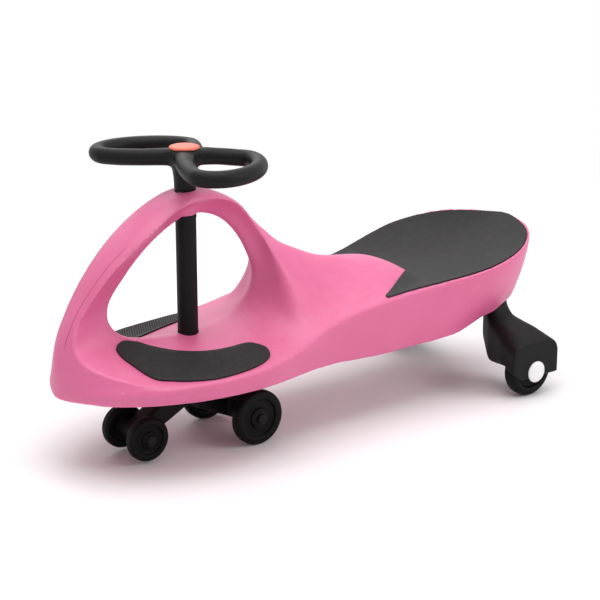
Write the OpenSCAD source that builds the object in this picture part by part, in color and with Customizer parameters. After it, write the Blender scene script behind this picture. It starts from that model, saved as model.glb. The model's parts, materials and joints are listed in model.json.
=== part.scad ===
// Ride-on wiggle car: a moulded body on a steered front truck and two rear wheels.
// X runs forward, Y to the rider's left and Z up; the floor is at Z = 0.

/* [Body length] */
// Steering column axis to the tip of the nose
nose_reach = 199; // [180:1:215]
// Steering column axis to the tip of the tail
tail_reach = 575; // [540:1:620]
// Column axis back to the widest place of the footwell
deck_wide_back = 20; // [10:1:40]
// Column axis back to the front end of the waist
waist_front_back = 190; // [170:1:210]
// Column axis back to the rear end of the waist
waist_rear_back = 290; // [270:1:310]
// Column axis back to the widest place of the seat
seat_wide_back = 440; // [420:1:460]

/* [Body width] */
// Width over the footwell
deck_w = 262; // [240:1:290]
// Width at the waist
waist_w = 208; // [190:1:230]
// Width over the seat
seat_w = 262; // [240:1:280]
// How far the skirt draws in below the rim, at its most
skirt_draw = 50; // [40:1:56]

/* [Body height] */
// Lower edge of the skirt above the floor
skirt_z = 98; // [94:1:102]
// Lower edge of the shell at the tail
tail_edge_z = 188; // [176:1:196]
// Rim of the footwell
deck_rim_z = 128; // [122:1:134]
// Rim at the tail
tail_rim_z = 226; // [214:1:240]
// Crest of the arch over the column
arch_z = 346; // [335:1:360]
// Nose where its front turns into the spine
nose_z = 134; // [126:1:142]
// Bottom of the seat dish
dish_z = 166; // [158:1:174]
// Thickness of the moulded wall
wall = 3.6; // [3:0.1:4.2]

/* [Arch opening] */
// Column axis forward to the front edge of the opening
opening_front = 122; // [112:1:128]
// Column axis back to the rear edge of the opening
opening_rear = 102; // [94:1:106]
// Floor of the footwell beside the column
deck_z = 155; // [150:1:160]
// Top edge of the opening
opening_top_z = 311; // [304:1:318]
// Width of the flat band along the edge of the opening
opening_band = 8; // [6:0.5:10]
// Depth of the trough along the rear limb
trough_depth = 11; // [6:0.5:14]
// Lower face of the boss under the arch
arch_boss_z = 309; // [300:1:314]
// Diameter of the boss under the arch
arch_boss_d = 40; // [36:0.5:46]

/* [Mats] */
// Thickness of the rubber mats
mat_t = 2; // [1.5:0.1:3]
// Pink margin left round the seat mat
seat_mat_margin = 3; // [2:0.5:8]
// Column axis back to where the hump runs out in the seat dish
tongue_back = 362; // [350:1:372]
// Column axis back to the front corners of the seat mat
seat_mat_corner_back = 259; // [250:1:280]
// Length of the tongue that cuts into the front of the seat mat
seat_tongue = 109; // [95:1:115]

/* [Steering wheel] */
// Height of the middle line of the grip loops
grip_z = 384.5; // [381:0.5:388]
// Thickness of the grip tube
grip_d = 21.5; // [20:0.5:24]
// Column axis to the middle of a grip loop
grip_mid = 72; // [68:0.5:78]
// Middle of a grip loop to its outer end
grip_out = 48; // [44:0.5:54]
// Half depth of a grip loop, front to back
grip_half = 60; // [54:0.5:64]
// Share of its depth by which a loop's front sweeps outward
grip_sweep_share = 0.3; // [0.2:0.05:0.35]
// Turn of the steering wheel on its column
grip_yaw = 8; // [0:1:15]
// Diameter of the hub under the cap
hub_d = 44; // [42:0.5:50]
// Diameter of the stem under the hub
stem_d = 29; // [28:0.5:32]
// Diameter of the hub cap
cap_d = 39; // [36:0.5:41]
// Top of the hub cap
cap_z = 403; // [400:1:407]
// Thickness of the hub cap
cap_t = 4.5; // [4:0.5:7]
// Length of the column tube inside the stem
stem_grip = 30; // [26:1:32]
// Diameter of the bolt down through the hub
hub_bolt_d = 8; // [6:0.5:9]

/* [Column] */
// Lower face of the boss under the footwell
deck_boss_z = 106; // [104:0.5:110]
// Outside diameter of the steel column tube
tube_d = 22; // [20:0.5:22.5]
// Wall of the steel column tube
tube_wall = 1.8; // [1.5:0.1:2.5]
// Outside diameter of the plastic sleeve
sleeve_d = 27; // [26:0.5:28]
// Outside diameter of the column bushes
bush_d = 28; // [26.5:0.5:28.5]
// Diameter of the bush flanges
flange_d = 42; // [38:0.5:44]
// Thickness of the bush flanges and the thrust washer
flange_t = 3; // [2:0.5:4]
// Radial running clearance
run_gap = 0.08; // [0.05:0.01:0.1]
// Clearance between faces that stay apart
part_gap = 0.3; // [0.3:0.05:0.5]

/* [Front truck] */
// Column axis back to the main axle
main_back = 67; // [62:0.5:72]
// Column axis forward to the safety axle
safety_front = 85.6; // [80:0.5:90]
// Mid-plane to the middle of a main wheel
main_side = 60; // [56:0.5:66]
// Mid-plane to the middle of a safety wheel
safety_side = 30; // [27:0.5:34]
// Diameter of the main wheels
main_d = 75; // [70:0.5:80]
// Width of the main wheels
main_w = 17; // [14:0.5:20]
// Diameter of the safety wheels
safety_d = 57; // [52:0.5:62]
// Width of the safety wheels
safety_w = 15; // [12:0.5:18]
// Height of the safety wheels over the floor
safety_lift = 5; // [3:0.5:8]
// Diameter of the front axles
axle_d = 8; // [6:0.5:10]
// Diameter of the truck's hub round the column
truck_hub_d = 44; // [40:0.5:50]
// Height of the truck's hub
truck_hub_h = 42; // [36:1:46]
// Width of the truck's rear beam
beam_d = 30; // [26:0.5:34]
// Width of the truck's front arm
arm_w = 30; // [24:0.5:36]
// Diameter of the boss round the safety axle
safety_boss_d = 22; // [18:0.5:26]
// Diameter of the bolt across the truck's hub
cross_bolt_d = 6; // [5:0.5:7]
// Diameter of the axle spacers
spacer_d = 16; // [14:0.5:18]
// Thickness of the axle spacers
spacer_t = 1.5; // [1:0.1:2]
// Diameter of the front axle caps
axle_cap_d = 15; // [13:0.5:18]
// Thickness of the front axle caps
axle_cap_t = 5; // [4:0.5:7]

/* [Rear wheels] */
// Tip of the tail forward to the axis of a housing's post
post_inset = 80; // [75:1:90]
// Axis of a housing's post forward to the rear axle
axle_lead = 8; // [0:0.5:14]
// Mid-plane to the middle of a rear wheel
rear_side = 140; // [134:0.5:148]
// Diameter of the rear wheels
rear_d = 76; // [72:0.5:80]
// Width of the rear wheels
rear_w = 22; // [18:0.5:25]
// Mid-plane to the axis of a housing's post
post_side = 61; // [58:0.5:63]
// Diameter of a housing's post
post_d = 34; // [30:0.5:35]
// Wall of the rear housings
hood_wall = 3.4; // [3:0.1:4.5]
// Clearance round a rear wheel inside its housing
hood_gap = 2.6; // [2:0.1:4]
// Radius of the upper corners of a housing
hood_corner = 20; // [14:0.5:24]
// Slope of a housing's top, from its inner to its outer plate
hood_fall = 8; // [4:0.5:10]
// Lower edge of a housing above the floor
plate_z = 29; // [26:0.5:31]
// Diameter of the white axle caps
rear_cap_d = 31; // [28:0.5:36]
// Thickness of the white axle caps
rear_cap_t = 4; // [3.5:0.1:5]

/* [Hidden] */

// Colours of the mouldings, rubber and metal
pink = [0.88, 0.44, 0.61];
black = [0.11, 0.11, 0.11];
charcoal = [0.26, 0.25, 0.26];
coral = [0.92, 0.42, 0.35];
white = [0.94, 0.93, 0.94];
steel = [0.72, 0.73, 0.75];
nylon = [0.86, 0.85, 0.80];

// One overrun for every cut
over = 1;
// Smoothness of the round faces
$fn = 64;
// Column axis forward of the middle of the car
col_x = (tail_reach - nose_reach) / 2;
body_l = nose_reach + tail_reach;
// Column axis back to the housing posts and to the rear axles
post_back = tail_reach - post_inset;
rear_back = post_back - axle_lead;

// Roundness of the nose and the tail in plan
nose_round_share = 0.54;
tail_round_share = 0.6;
// Steepness of the front spine, from the arch down to the nose
spine_run_share = 1.5;
spine_fall_share = 0.56;
// Climb of the rim from the footwell to the tail, by place along it
rim_climb_shares = [[0, 0], [0.11, 0.035], [0.21, 0.13], [0.31, 0.30], [0.42, 0.43],
                    [0.585, 0.54], [0.73, 0.68], [0.83, 0.82], [0.93, 0.96], [1, 1]];
// Fall of the crest from the arch to the tongue, by place along it
saddle_shares = [[0, 1], [0.075, 0.985], [0.185, 0.875], [0.26, 0.735], [0.33, 0.6], [0.395, 0.49],
                 [0.495, 0.4], [0.565, 0.34], [0.63, 0.295], [0.735, 0.24], [0.85, 0.15], [0.93, 0.06], [1, 0]];
// Rise of the seat dish from the tongue to the tail, by place along it
dish_shares = [[0, 0], [0.36, 0.01], [0.64, 0.19], [0.83, 0.53], [1, 1]];
// Draw of the skirt below the rim, by place along the body
draw_shares = [[0, 0.16], [0.2, 0.22], [0.45, 0.22], [0.62, 0.24], [0.75, 0.54], [0.83, 1],
               [0.87, 0.86], [0.91, 0.60], [0.95, 0.44], [1, 0.1]];
// Lower edge between the skirt and the tail, by place along the body
edge_shares = [[0, 0.07], [0.12, 0.04], [0.3, 0.03], [0.45, 0.01], [0.6, -0.05], [0.75, -0.02],
               [0.83, 0.06], [0.86, 0.17], [0.885, 0.33], [0.91, 0.43], [0.95, 0.68], [0.98, 0.93], [1, 1]];
// The scoop of the footwell: edge of the opening (along, up), rim it runs out to (along, across), trough
scoop_shares = [
    [-0.76, 0.10, -0.93, 1, 0.1], [-0.56, 0.04, -0.62, 1, 0], [-0.30, 0.015, -0.36, 1, 0],
    [0, 0, -0.13, 1, 0], [0.25, 0, 0.08, 1, 0], [0.49, 0.02, 0.28, 0.995, 0],
    [0.70, 0.05, 0.485, 0.965, 0], [0.845, 0.10, 0.67, 0.89, 0.1], [0.93, 0.16, 0.81, 0.81, 0.2],
    [0.985, 0.23, 0.895, 0.70, 0.2], [1, 0.305, 0.92, 0.53, 0.1], [0.975, 0.39, 0.885, 0.35, 0],
    [0.91, 0.47, 0.83, 0.322, 0], [0.81, 0.56, 0.755, 0.305, 0], [0.68, 0.67, 0.665, 0.297, 0],
    [0.51, 0.79, 0.535, 0.308, 0.1], [0.295, 0.905, 0.365, 0.305, 0.2], [0.065, 0.985, 0.155, 0.275, 0.3],
    [-0.2, 1, -0.05, 0.28, 0.3], [-0.46, 0.945, -0.2, 0.27, 0.4], [-0.665, 0.84, -0.325, 0.25, 0.5],
    [-0.82, 0.71, -0.445, 0.245, 0.5], [-0.93, 0.57, -0.545, 0.25, 0.5], [-0.995, 0.43, -0.64, 0.27, 0.5],
    [-0.995, 0.305, -0.735, 0.40, 0.4], [-0.92, 0.195, -0.86, 0.75, 0.2]];
// Crescent of a foot mat on the scoop: its ends round it, then its middle and half width by place along it
mat_from_share = 0.074;
mat_to_share = 0.284;
mat_mid_shares = [[0, 0.68], [0.09, 0.67], [0.16, 0.685], [0.25, 0.695], [0.38, 0.675], [0.48, 0.625],
                  [0.57, 0.535], [0.64, 0.455], [0.7, 0.425], [0.77, 0.305], [0.84, 0.255], [0.91, 0.235],
                  [1, 0.235]];
mat_half_shares = [[0, 0], [0.09, 0.11], [0.16, 0.17], [0.25, 0.21], [0.38, 0.26], [0.48, 0.32],
                   [0.57, 0.375], [0.64, 0.395], [0.7, 0.375], [0.77, 0.25], [0.84, 0.165], [0.91, 0.09],
                   [1, 0]];

// Number of places round, along and across the lofted surfaces
scoop_round = 52;
scoop_steps = 6;
top_steps = 12;
skirt_steps = 4;
inner_top_steps = 8;
end_steps = 7;

function clamp01(v) = min(max(v, 0), 1);
function ease(v) = let (s = clamp01(v)) s * s * (3 - 2 * s);
function mix(a, b, s) = a + (b - a) * s;
function place(tb, t, i = 0) = i >= len(tb) - 2 || t < tb[i + 1][0] ? i : place(tb, t, i + 1);
function slope(tb, i) =
    let (a = max(i - 1, 0), b = min(i + 1, len(tb) - 1)) (tb[b][1] - tb[a][1]) / (tb[b][0] - tb[a][0]);

// Smooth value of a table of [place, share] pairs
function curve(tb, t) =
    let (i = place(tb, t), h = tb[i + 1][0] - tb[i][0], s = clamp01((t - tb[i][0]) / h))
    mix(tb[i][1], tb[i + 1][1], ease(s))
    + h * (slope(tb, i) * s * (1 - s) * (1 - s) - slope(tb, i + 1) * s * s * (1 - s));

// Half width of the plan outline, drawn in by an inset
function plan_half(x, inset = 0) =
    x > -deck_wide_back
    ? let (run = (x + deck_wide_back) / (nose_reach - inset + deck_wide_back))
      (deck_w / 2 - inset) * pow(max(1 - run * run, 0), nose_round_share)
    : x > -seat_wide_back
    ? let (a = ease((-deck_wide_back - x) / (waist_front_back - deck_wide_back)),
           b = ease((-x - waist_rear_back) / (seat_wide_back - waist_rear_back)))
      mix(mix(deck_w / 2, waist_w / 2, a), seat_w / 2, b) - inset
    : let (run = (-x - seat_wide_back) / (tail_reach - inset - seat_wide_back))
      (seat_w / 2 - inset) * pow(max(1 - run * run, 0), tail_round_share);

// Height of the rim, dropping a little round the nose
rim_flat_front = 40;
nose_rim_drop = 10;
function rim_z(x) =
    mix(deck_rim_z, tail_rim_z, curve(rim_climb_shares, (rim_flat_front - x) / (rim_flat_front + tail_reach)))
    - nose_rim_drop * ease((x - rim_flat_front) / (nose_reach - rim_flat_front));

// Height of the mid-plane crest
arch_top_back = 3;
function crest_z(x) =
    x > -arch_top_back
    ? let (run = (x + arch_top_back) / (nose_reach + arch_top_back))
      mix(nose_z, arch_z, pow(max(1 - pow(run, spine_run_share), 0), spine_fall_share))
    : x > -tongue_back
    ? mix(dish_z, arch_z, curve(saddle_shares, (-arch_top_back - x) / (tongue_back - arch_top_back)))
    : mix(dish_z, tail_rim_z, curve(dish_shares, (-tongue_back - x) / (tail_reach - tongue_back)));

// Depth of the dish under the rim, and height of the hump that stands in it
dish_start_back = 220;
function dish_d(x) =
    x < -tongue_back ? rim_z(x) - crest_z(x)
    : (rim_z(-tongue_back) - dish_z) * ease((-dish_start_back - x) / (tongue_back - dish_start_back));
dish_edge_share = 3.5;
hump_soft_share = 2;
hump_full_share = 3;
limb_back = 150;
limb_front_back = 60;
function hump_shares(x) =
    mix(hump_soft_share, hump_full_share, ease((x + limb_back) / (limb_back - limb_front_back)));

// Height of the moulded top before the scoop is taken out
function top_z(x, s) =
    let (d = dish_d(x))
    rim_z(x) - d * (1 - pow(s, dish_edge_share))
    + (crest_z(x) - rim_z(x) + d) * pow(max(1 - pow(s, hump_shares(x)), 0), 2);

// Lower edge of the skirt
flank_share = 1.6;
function along(x) = (nose_reach - x) / body_l;
function edge_half(x) = max(plan_half(x) - skirt_draw * curve(draw_shares, along(x)), plan_half(x) / 2);
function edge_z(x) = mix(skirt_z, tail_edge_z, curve(edge_shares, along(x)));

// One half section, from the crest out to the rim and down to the lower edge
crowd_share = 1.3;
function half_section(x, tops, skirts) = concat(
    [for (j = [0 : tops]) let (s = pow(j / tops, crowd_share)) [s * plan_half(x), top_z(x, s)]],
    [for (k = [1 : skirts]) let (q = k / skirts)
        [mix(plan_half(x), edge_half(x), pow(q, flank_share)), mix(rim_z(x), edge_z(x), q)]]);

// The same section moved inward by the wall, with its foot carried down past the lower edge
function inner_point(pts, i) =
    let (a = pts[max(i - 1, 0)], b = pts[min(i + 1, len(pts) - 1)], d = b - a,
         n = i == 0 ? [0, 1] : [-d[1], d[0]] / norm(d))
    i == len(pts) - 1 ? [max(pts[i][0] - wall, 0), pts[i][1] - skirt_z / 2]
    : [max(pts[i][0] - abs(n[0]) * wall, i * over / len(pts)), pts[i][1] - abs(n[1]) * wall];
function inner_section(x, tops, skirts) =
    let (pts = half_section(x, tops, skirts)) [for (i = [0 : len(pts) - 1]) inner_point(pts, i)];

// A full ring from the right foot over the crest to the left foot
function ring(x, half) = concat(
    [for (i = [len(half) - 1 : -1 : 1]) [x, -half[i][0], half[i][1]]],
    [for (p = half) [x, p[0], p[1]]]);

// Faces of a loft of closed rings with flat ends
function loft_faces(rings, n) = concat(
    [[for (i = [0 : n - 1]) i]],
    [for (r = [0 : rings - 2], i = [0 : n - 1], k = [0, 1])
        let (a = r * n + i, b = r * n + (i + 1) % n) k == 0 ? [a, a + n, b] : [b, a + n, b + n]],
    [[for (i = [n - 1 : -1 : 0]) (rings - 1) * n + i]]);

module loft(rings) {
    polyhedron(
        points = [for (r = rings) each r],
        faces = loft_faces(len(rings), len(rings[0])),
        convexity = 10);
}

// Stations along the body, closer together at both ends and along the limbs
end_gap_share = 0.004;
function stations(inset, mids) =
    let (end = inset + body_l * end_gap_share, first = nose_reach - end, last = tail_span - tail_reach)
    concat(
        [for (i = [0 : end_steps - 1]) first - nose_span * (1 - cos(quarter * i / end_steps))],
        [for (i = [0 : mids]) mix(first - nose_span, last, i / mids)],
        [for (i = [1 : end_steps]) last - (tail_span - end) * sin(quarter * i / end_steps)]);
quarter = 90;
nose_span = 70;
tail_span = 75;
body_mids = 34;
inner_mids = 26;

module hull_form() {
    loft([for (x = stations(0, body_mids)) ring(x, half_section(x, top_steps, skirt_steps))]);
}

module hollow_form() {
    loft([for (x = stations(2 * wall, inner_mids)) ring(x, inner_section(x, inner_top_steps, skirt_steps))]);
}

// Closed smooth value round the scoop's table, column by column
function round_value(c, t) =
    let (n = len(scoop_shares), u = t * n, i = floor(u), s = u - i,
         v = [for (k = [-1 : 2]) scoop_shares[(i + k + n) % n][c]])
    mix(v[1], v[2], ease(s))
    + ((v[2] - v[0]) * s * (1 - s) * (1 - s) - (v[3] - v[1]) * s * s * (1 - s)) / 2;

function opening_point(t) =
    let (a = round_value(0, t), z = mix(deck_z, opening_top_z, round_value(1, t)))
    [a * (a > 0 ? opening_front : opening_rear), opening_band / 2, z];
function scoop_rim(t) =
    let (a = round_value(2, t), s = min(round_value(3, t), 1),
         x = a * (a > 0 ? nose_reach : waist_front_back))
    [x, s * plan_half(x), top_z(x, s)];
// Outward direction of the opening's edge in the mid-plane
turn_step_share = 0.01;
function outward(t) =
    let (a = opening_point(t - turn_step_share + (t < turn_step_share ? 1 : 0)),
         b = opening_point((t + turn_step_share) % 1), d = b - a)
    [d[2], 0, -d[0]] / norm(d);

// A point on the scoop at t round the opening and f of the way from its edge to the rim
deck_bend_share = 1.2;
limb_bend_share = 0.72;
deck_end_share = 0.24;
limb_end_share = 0.92;
function bend(t) =
    let (onto = ease(t / deck_end_share), off = ease((t - limb_end_share) / (1 - limb_end_share)))
    mix(deck_bend_share, limb_bend_share, onto - off);
function scoop_point(t, f) =
    let (o = opening_point(t), e = scoop_rim(t), h = pow(f, bend(t)), w = trough_depth * round_value(4, t))
    [mix(o[0], e[0], h), mix(o[1], e[1], f), mix(o[2], e[2], h)] + outward(t) * w * 4 * f * (1 - f);

// Rings of the scoop on one side, carried on past the rim, and grown by a wall where asked
spread_share = 1.5;
scoop_crowd_share = 1.4;
function grown(p, t, g) = p + outward(t) * g - [0, min(g, p[1] - over / 4), 0];
function scoop_ring(f, g, side) = [for (i = [0 : scoop_round - 1])
    let (t = i / scoop_round,
         p = f <= 1 ? scoop_point(t, f)
             : mix(scoop_point(t, 1 - 1 / scoop_steps), scoop_point(t, 1), 1 + spread_share))
    let (q = grown(p, t, g)) [q[0], side * q[1], q[2]]];
function fan_faces(n, first, apex, flip) = [for (i = [0 : n - 1])
    let (a = first + i, b = first + (i + 1) % n) flip ? [a, b, apex] : [b, a, apex]];

// The through cut of both footwells and the opening between them
module scoop(g = 0) {
    fs = [for (k = [scoop_steps + 1 : -1 : 0]) pow(k / scoop_steps, scoop_crowd_share)];
    rings = concat(
        [for (f = fs) scoop_ring(f, g, 1)],
        [for (k = [len(fs) - 1 : -1 : 0]) scoop_ring(fs[k], g, -1)]);
    n = scoop_round;
    tops = len(rings) * n;
    mid = [(opening_front - opening_rear) / 2, deck_w, mix(deck_z, opening_top_z, 1 / 2)];
    polyhedron(
        points = concat([for (r = rings) each r], [mid, [mid[0], -mid[1], mid[2]]]),
        faces = concat(
            fan_faces(n, 0, tops, true),
            [for (r = [0 : len(rings) - 2], i = [0 : n - 1], k = [0, 1])
                let (a = r * n + i, b = r * n + (i + 1) % n) k == 0 ? [a, a + n, b] : [b, a + n, b + n]],
            fan_faces(n, (len(rings) - 1) * n, tops + 1, false)),
        convexity = 10);
}

module at_column() { translate([col_x, 0, 0]) children(); }
module both_sides() {
    children();
    mirror([0, 1, 0]) children();
}

// Rods and rings along the column and along an axle
module ring_z(outer_d, inner_d, low, high) {
    translate([0, 0, low]) difference() {
        cylinder(d = outer_d, h = high - low);
        translate([0, 0, -over]) cylinder(d = inner_d, h = high - low + 2 * over);
    }
}
module rod_y(d, from, to) { translate([0, from, 0]) rotate([-quarter, 0, 0]) cylinder(d = d, h = to - from); }
module ring_y(outer_d, inner_d, from, to) {
    difference() {
        rod_y(outer_d, from, to);
        rod_y(inner_d, from - over, to + over);
    }
}

// Levels up the column
truck_top_z = deck_boss_z - 2 * flange_t;
truck_low_z = truck_top_z - truck_hub_h;
socket_floor = 5;
tube_low_z = truck_low_z + socket_floor;
bush_drop = 3;
stem_low_z = arch_z + part_gap;
tube_top_z = stem_low_z + stem_grip;
hub_web = 6;
bolt_seat_z = tube_top_z + hub_web;
hub_top_z = cap_z - cap_t;
tube_bore_d = tube_d - 2 * tube_wall;
hub_hex_share = 1.75;
hub_head_share = 0.65;

// Ribs under the seat, gussets round the deck boss and beside the post sockets
rib_t = 3;
rib_rise = 12;
rib_foot_share = 0.8;
rib_front_back = 262;
seat_rib_shares = [0.05, 0.3, 0.55, 0.8];
gusset_angles = [45, 90, 135, 225, 270, 315];
gusset_reach = 62;
gusset_rise = 34;
socket_z = 134;
post_top_z = dish_z;
socket_d = post_d + 2 * part_gap + 2 * wall;

module seat_rib(x) {
    hull() {
        translate([x, 0, edge_z(x) + rib_rise])
            cube([rib_t, 2 * rib_foot_share * edge_half(x), over], center = true);
        translate([x, 0, rim_z(x)]) cube([rib_t, 2 * plan_half(x), over], center = true);
    }
}

module deck_gusset(angle) {
    rotate([0, 0, angle]) hull() {
        translate([0, -rib_t / 2, deck_boss_z + over])
            cube([flange_d / 2, rib_t, deck_z - deck_boss_z - over]);
        translate([0, -rib_t / 2, deck_boss_z + gusset_rise])
            cube([gusset_reach, rib_t, deck_z - deck_boss_z - gusset_rise]);
    }
}

module post_socket() {
    translate([-post_back, post_side, socket_z]) cylinder(d = socket_d, h = tail_rim_z - socket_z);
}

module body_inside() {
    for (share = seat_rib_shares) seat_rib(mix(-rib_front_back, -tail_reach, share));
    for (angle = gusset_angles) deck_gusset(angle);
    translate([0, 0, deck_boss_z]) cylinder(d = flange_d, h = deck_z - deck_boss_z);
    both_sides() post_socket();
}

module body_bores() {
    cylinder(d = bush_d + 2 * part_gap, h = arch_z + over);
    both_sides() translate([-post_back, post_side, 0])
        cylinder(d = post_d + 2 * part_gap, h = post_top_z + part_gap);
}

module body_shell() {
    color(pink) at_column() difference() {
        union() {
            difference() {
                hull_form();
                scoop();
                difference() {
                    hollow_form();
                    scoop(wall);
                    body_inside();
                }
            }
            intersection() {
                hull_form();
                translate([0, 0, arch_boss_z]) cylinder(d = arch_boss_d, h = arch_z - arch_boss_z);
            }
        }
        body_bores();
    }
}

// A sheet laid on a surface: a grid of points, thickened between two of its copies
function sheet_faces(n, m) =
    let (k = n * m,
         quads = concat(
             [for (r = [0 : n - 2], c = [0 : m - 2]) let (a = r * m + c) [a, a + 1, a + m + 1, a + m]],
             [for (r = [0 : n - 2], c = [0 : m - 2]) let (a = k + r * m + c) [a, a + m, a + m + 1, a + 1]],
             [for (r = [0 : n - 2], c = [0, m - 1])
                 let (a = r * m + c, b = a + m) c == 0 ? [a, b, b + k, a + k] : [b, a, a + k, b + k]],
             [for (r = [0, n - 1], c = [0 : m - 2])
                 let (a = r * m + c, b = a + 1) r == 0 ? [b, a, a + k, b + k] : [a, b, b + k, a + k]]))
    [for (q = quads) each [[q[0], q[1], q[2]], [q[0], q[2], q[3]]]];

module sheet(low, high) {
    polyhedron(
        points = concat([for (r = low) each r], [for (r = high) each r]),
        faces = sheet_faces(len(low), len(low[0])), convexity = 6);
}

// Gap under the seat mat, which spans the facets of the dish, and under the foot mats
seat_lift = 1.8;
foot_lift = 1;

// The seat mat fills the dish behind the tongue
seat_rows = 22;
seat_columns = 16;
tongue_round_share = 0.15;
tongue_wide_share = 0.94;
seat_end_share = 0.999;
function tongue_rise(b) = norm([b, tongue_round_share]) - tongue_round_share;
function seat_front(b) =
    let (s = min(abs(b) / tongue_wide_share, 1))
    -seat_mat_corner_back - seat_tongue * (1 - tongue_rise(s) / tongue_rise(1));
function seat_point(a, b, lift) =
    let (x = mix(seat_front(b), (seat_mat_margin - tail_reach) * seat_end_share, sin(quarter * a)),
         y = b * plan_half(x, seat_mat_margin))
    [x, y, top_z(x, abs(y) / plan_half(x)) + lift];
function seat_grid(lift) = [for (i = [0 : seat_rows])
    [for (j = [0 : seat_columns]) seat_point(i / seat_rows, 2 * j / seat_columns - 1, lift)]];

module seat_mat() { color(charcoal) at_column() sheet(seat_grid(seat_lift), seat_grid(seat_lift + mat_t)); }

// A foot mat is a crescent on the deck of the scoop
foot_rows = 22;
foot_columns = 6;
tip_share = 0.4;
function foot_place(i) = (i + tip_share) / (foot_rows + 2 * tip_share);
function foot_point(u, v) =
    scoop_point(
        mix(mat_from_share, mat_to_share, (1 - cos(2 * quarter * u)) / 2),
        curve(mat_mid_shares, u) + curve(mat_half_shares, u) * (2 * v - 1));
function foot_normal(u, v) =
    let (a = foot_point(u + turn_step_share * (u < 1 / 2 ? 1 : -1), v) - foot_point(u, v),
         b = foot_point(u, v + turn_step_share) - foot_point(u, v),
         c = cross(a, b))
    c / norm(c) * (c[2] < 0 ? -1 : 1);
function foot_grid(lift) = [for (i = [0 : foot_rows])
    [for (j = [0 : foot_columns])
        let (u = foot_place(i), v = j / foot_columns) foot_point(u, v) + foot_normal(u, v) * lift]];

module foot_mat() { sheet(foot_grid(foot_lift), foot_grid(foot_lift + mat_t)); }
module foot_mat_left() { color(black) at_column() foot_mat(); }
module foot_mat_right() { color(black) at_column() mirror([0, 1, 0]) foot_mat(); }

// Bushes, sleeve and tube round the column
module upper_bush() {
    color(black) at_column() ring_z(bush_d, tube_d + 2 * run_gap, arch_boss_z, arch_z - bush_drop);
}

module lower_bush() {
    color(black) at_column() difference() {
        union() {
            translate([0, 0, deck_boss_z - flange_t]) cylinder(d = flange_d, h = flange_t);
            translate([0, 0, deck_boss_z - flange_t])
                cylinder(d = bush_d, h = deck_z - deck_boss_z + flange_t);
        }
        translate([0, 0, truck_top_z]) cylinder(d = tube_d + 2 * run_gap, h = deck_z);
    }
}

module column_sleeve() {
    color(black) at_column()
        ring_z(sleeve_d, tube_d + 2 * run_gap, deck_z + part_gap, arch_boss_z - part_gap);
}

module thrust_washer() {
    color(nylon) at_column() ring_z(flange_d, tube_d + 2 * run_gap, truck_top_z, truck_top_z + flange_t);
}

module column_tube() {
    color(steel) at_column() difference() {
        ring_z(tube_d, tube_bore_d, tube_low_z, tube_top_z);
        cross_hole();
    }
}

module column_insert() {
    color(nylon) at_column()
        ring_z(tube_bore_d - 2 * run_gap, hub_bolt_d + 2 * run_gap, tube_top_z - stem_grip, tube_top_z);
}

module steering_bolt() {
    color(steel) at_column() {
        translate([0, 0, tube_top_z - stem_grip / 2])
            cylinder(d = hub_bolt_d, h = bolt_seat_z - tube_top_z + stem_grip / 2);
        translate([0, 0, bolt_seat_z])
            cylinder(d = hub_hex_share * hub_bolt_d, h = hub_head_share * hub_bolt_d, $fn = 6);
    }
}

// The steering wheel: two oval grips swept round their middle lines and webbed into the hub
grip_rings = 40;
grip_sides = 12;
grip_taper_share = 0.44;
grip_root = 4;
web_angles = [-72, -54, -36, -144, -126, -108];
web_share = 0.8;
skirt_angles = [-66, -48, -132, -114];
skirt_ball_share = 0.5;
web_root_share = 0.9;
neck = 14;
hub_low_drop = 20;
hub_shoulder = 5;
pocket_d = 20;
spigot_t = 2.5;
function grip_point(a) =
    let (x = grip_half * cos(a) * (1 + grip_taper_share * min(sin(a), 0)),
         y = grip_mid + (sin(a) > 0 ? grip_out : grip_mid - grip_root) * sin(a))
    [x, y + grip_sweep_share * x, grip_z];
function grip_ring(a) =
    let (t = grip_point(a + 1) - grip_point(a - 1), n = cross(t, [0, 0, 1]) / norm(cross(t, [0, 0, 1])))
    [for (k = [0 : grip_sides - 1])
        let (b = 4 * quarter * (k + 1 / 2) / grip_sides)
        grip_point(a) + grip_d / 2 * (n * cos(b) + [0, 0, sin(b)])];

module grip() {
    n = grip_sides;
    total = grip_rings * n;
    polyhedron(
        points = [for (r = [0 : grip_rings - 1]) each grip_ring(4 * quarter * r / grip_rings)],
        faces = [for (r = [0 : grip_rings - 1], i = [0 : n - 1], k = [0, 1])
            let (a = r * n + i, b = r * n + (i + 1) % n, c = (a + n) % total, d = (b + n) % total)
            k == 0 ? [a, b, c] : [b, d, c]],
        convexity = 6);
}

module grip_ball(a, share) { translate(grip_point(a)) sphere(d = grip_d * share, $fn = 16); }

module wheel_hub() {
    rotate_extrude($fn = 48) polygon([
        [0, stem_low_z], [stem_d / 2, stem_low_z], [stem_d / 2, stem_low_z + neck],
        [mix(stem_d, hub_d, 1 / 4) / 2, mix(stem_low_z + neck, hub_top_z - hub_low_drop, 3 / 4)],
        [hub_d / 2, hub_top_z - hub_low_drop + hub_shoulder], [hub_d / 2, hub_top_z - hub_shoulder],
        [cap_d / 2, hub_top_z], [0, hub_top_z]]);
}

module grip_webs() {
    for (a = web_angles) hull() {
        grip_ball(a, web_share);
        translate([0, 0, hub_top_z - hub_low_drop])
            cylinder(d = web_root_share * stem_d, h = hub_low_drop - over, $fn = 24);
    }
    for (a = skirt_angles) hull() {
        grip_ball(a, skirt_ball_share);
        translate([0, 0, stem_low_z + neck]) cylinder(d = web_root_share * stem_d, h = neck / 2, $fn = 24);
    }
}

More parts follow.
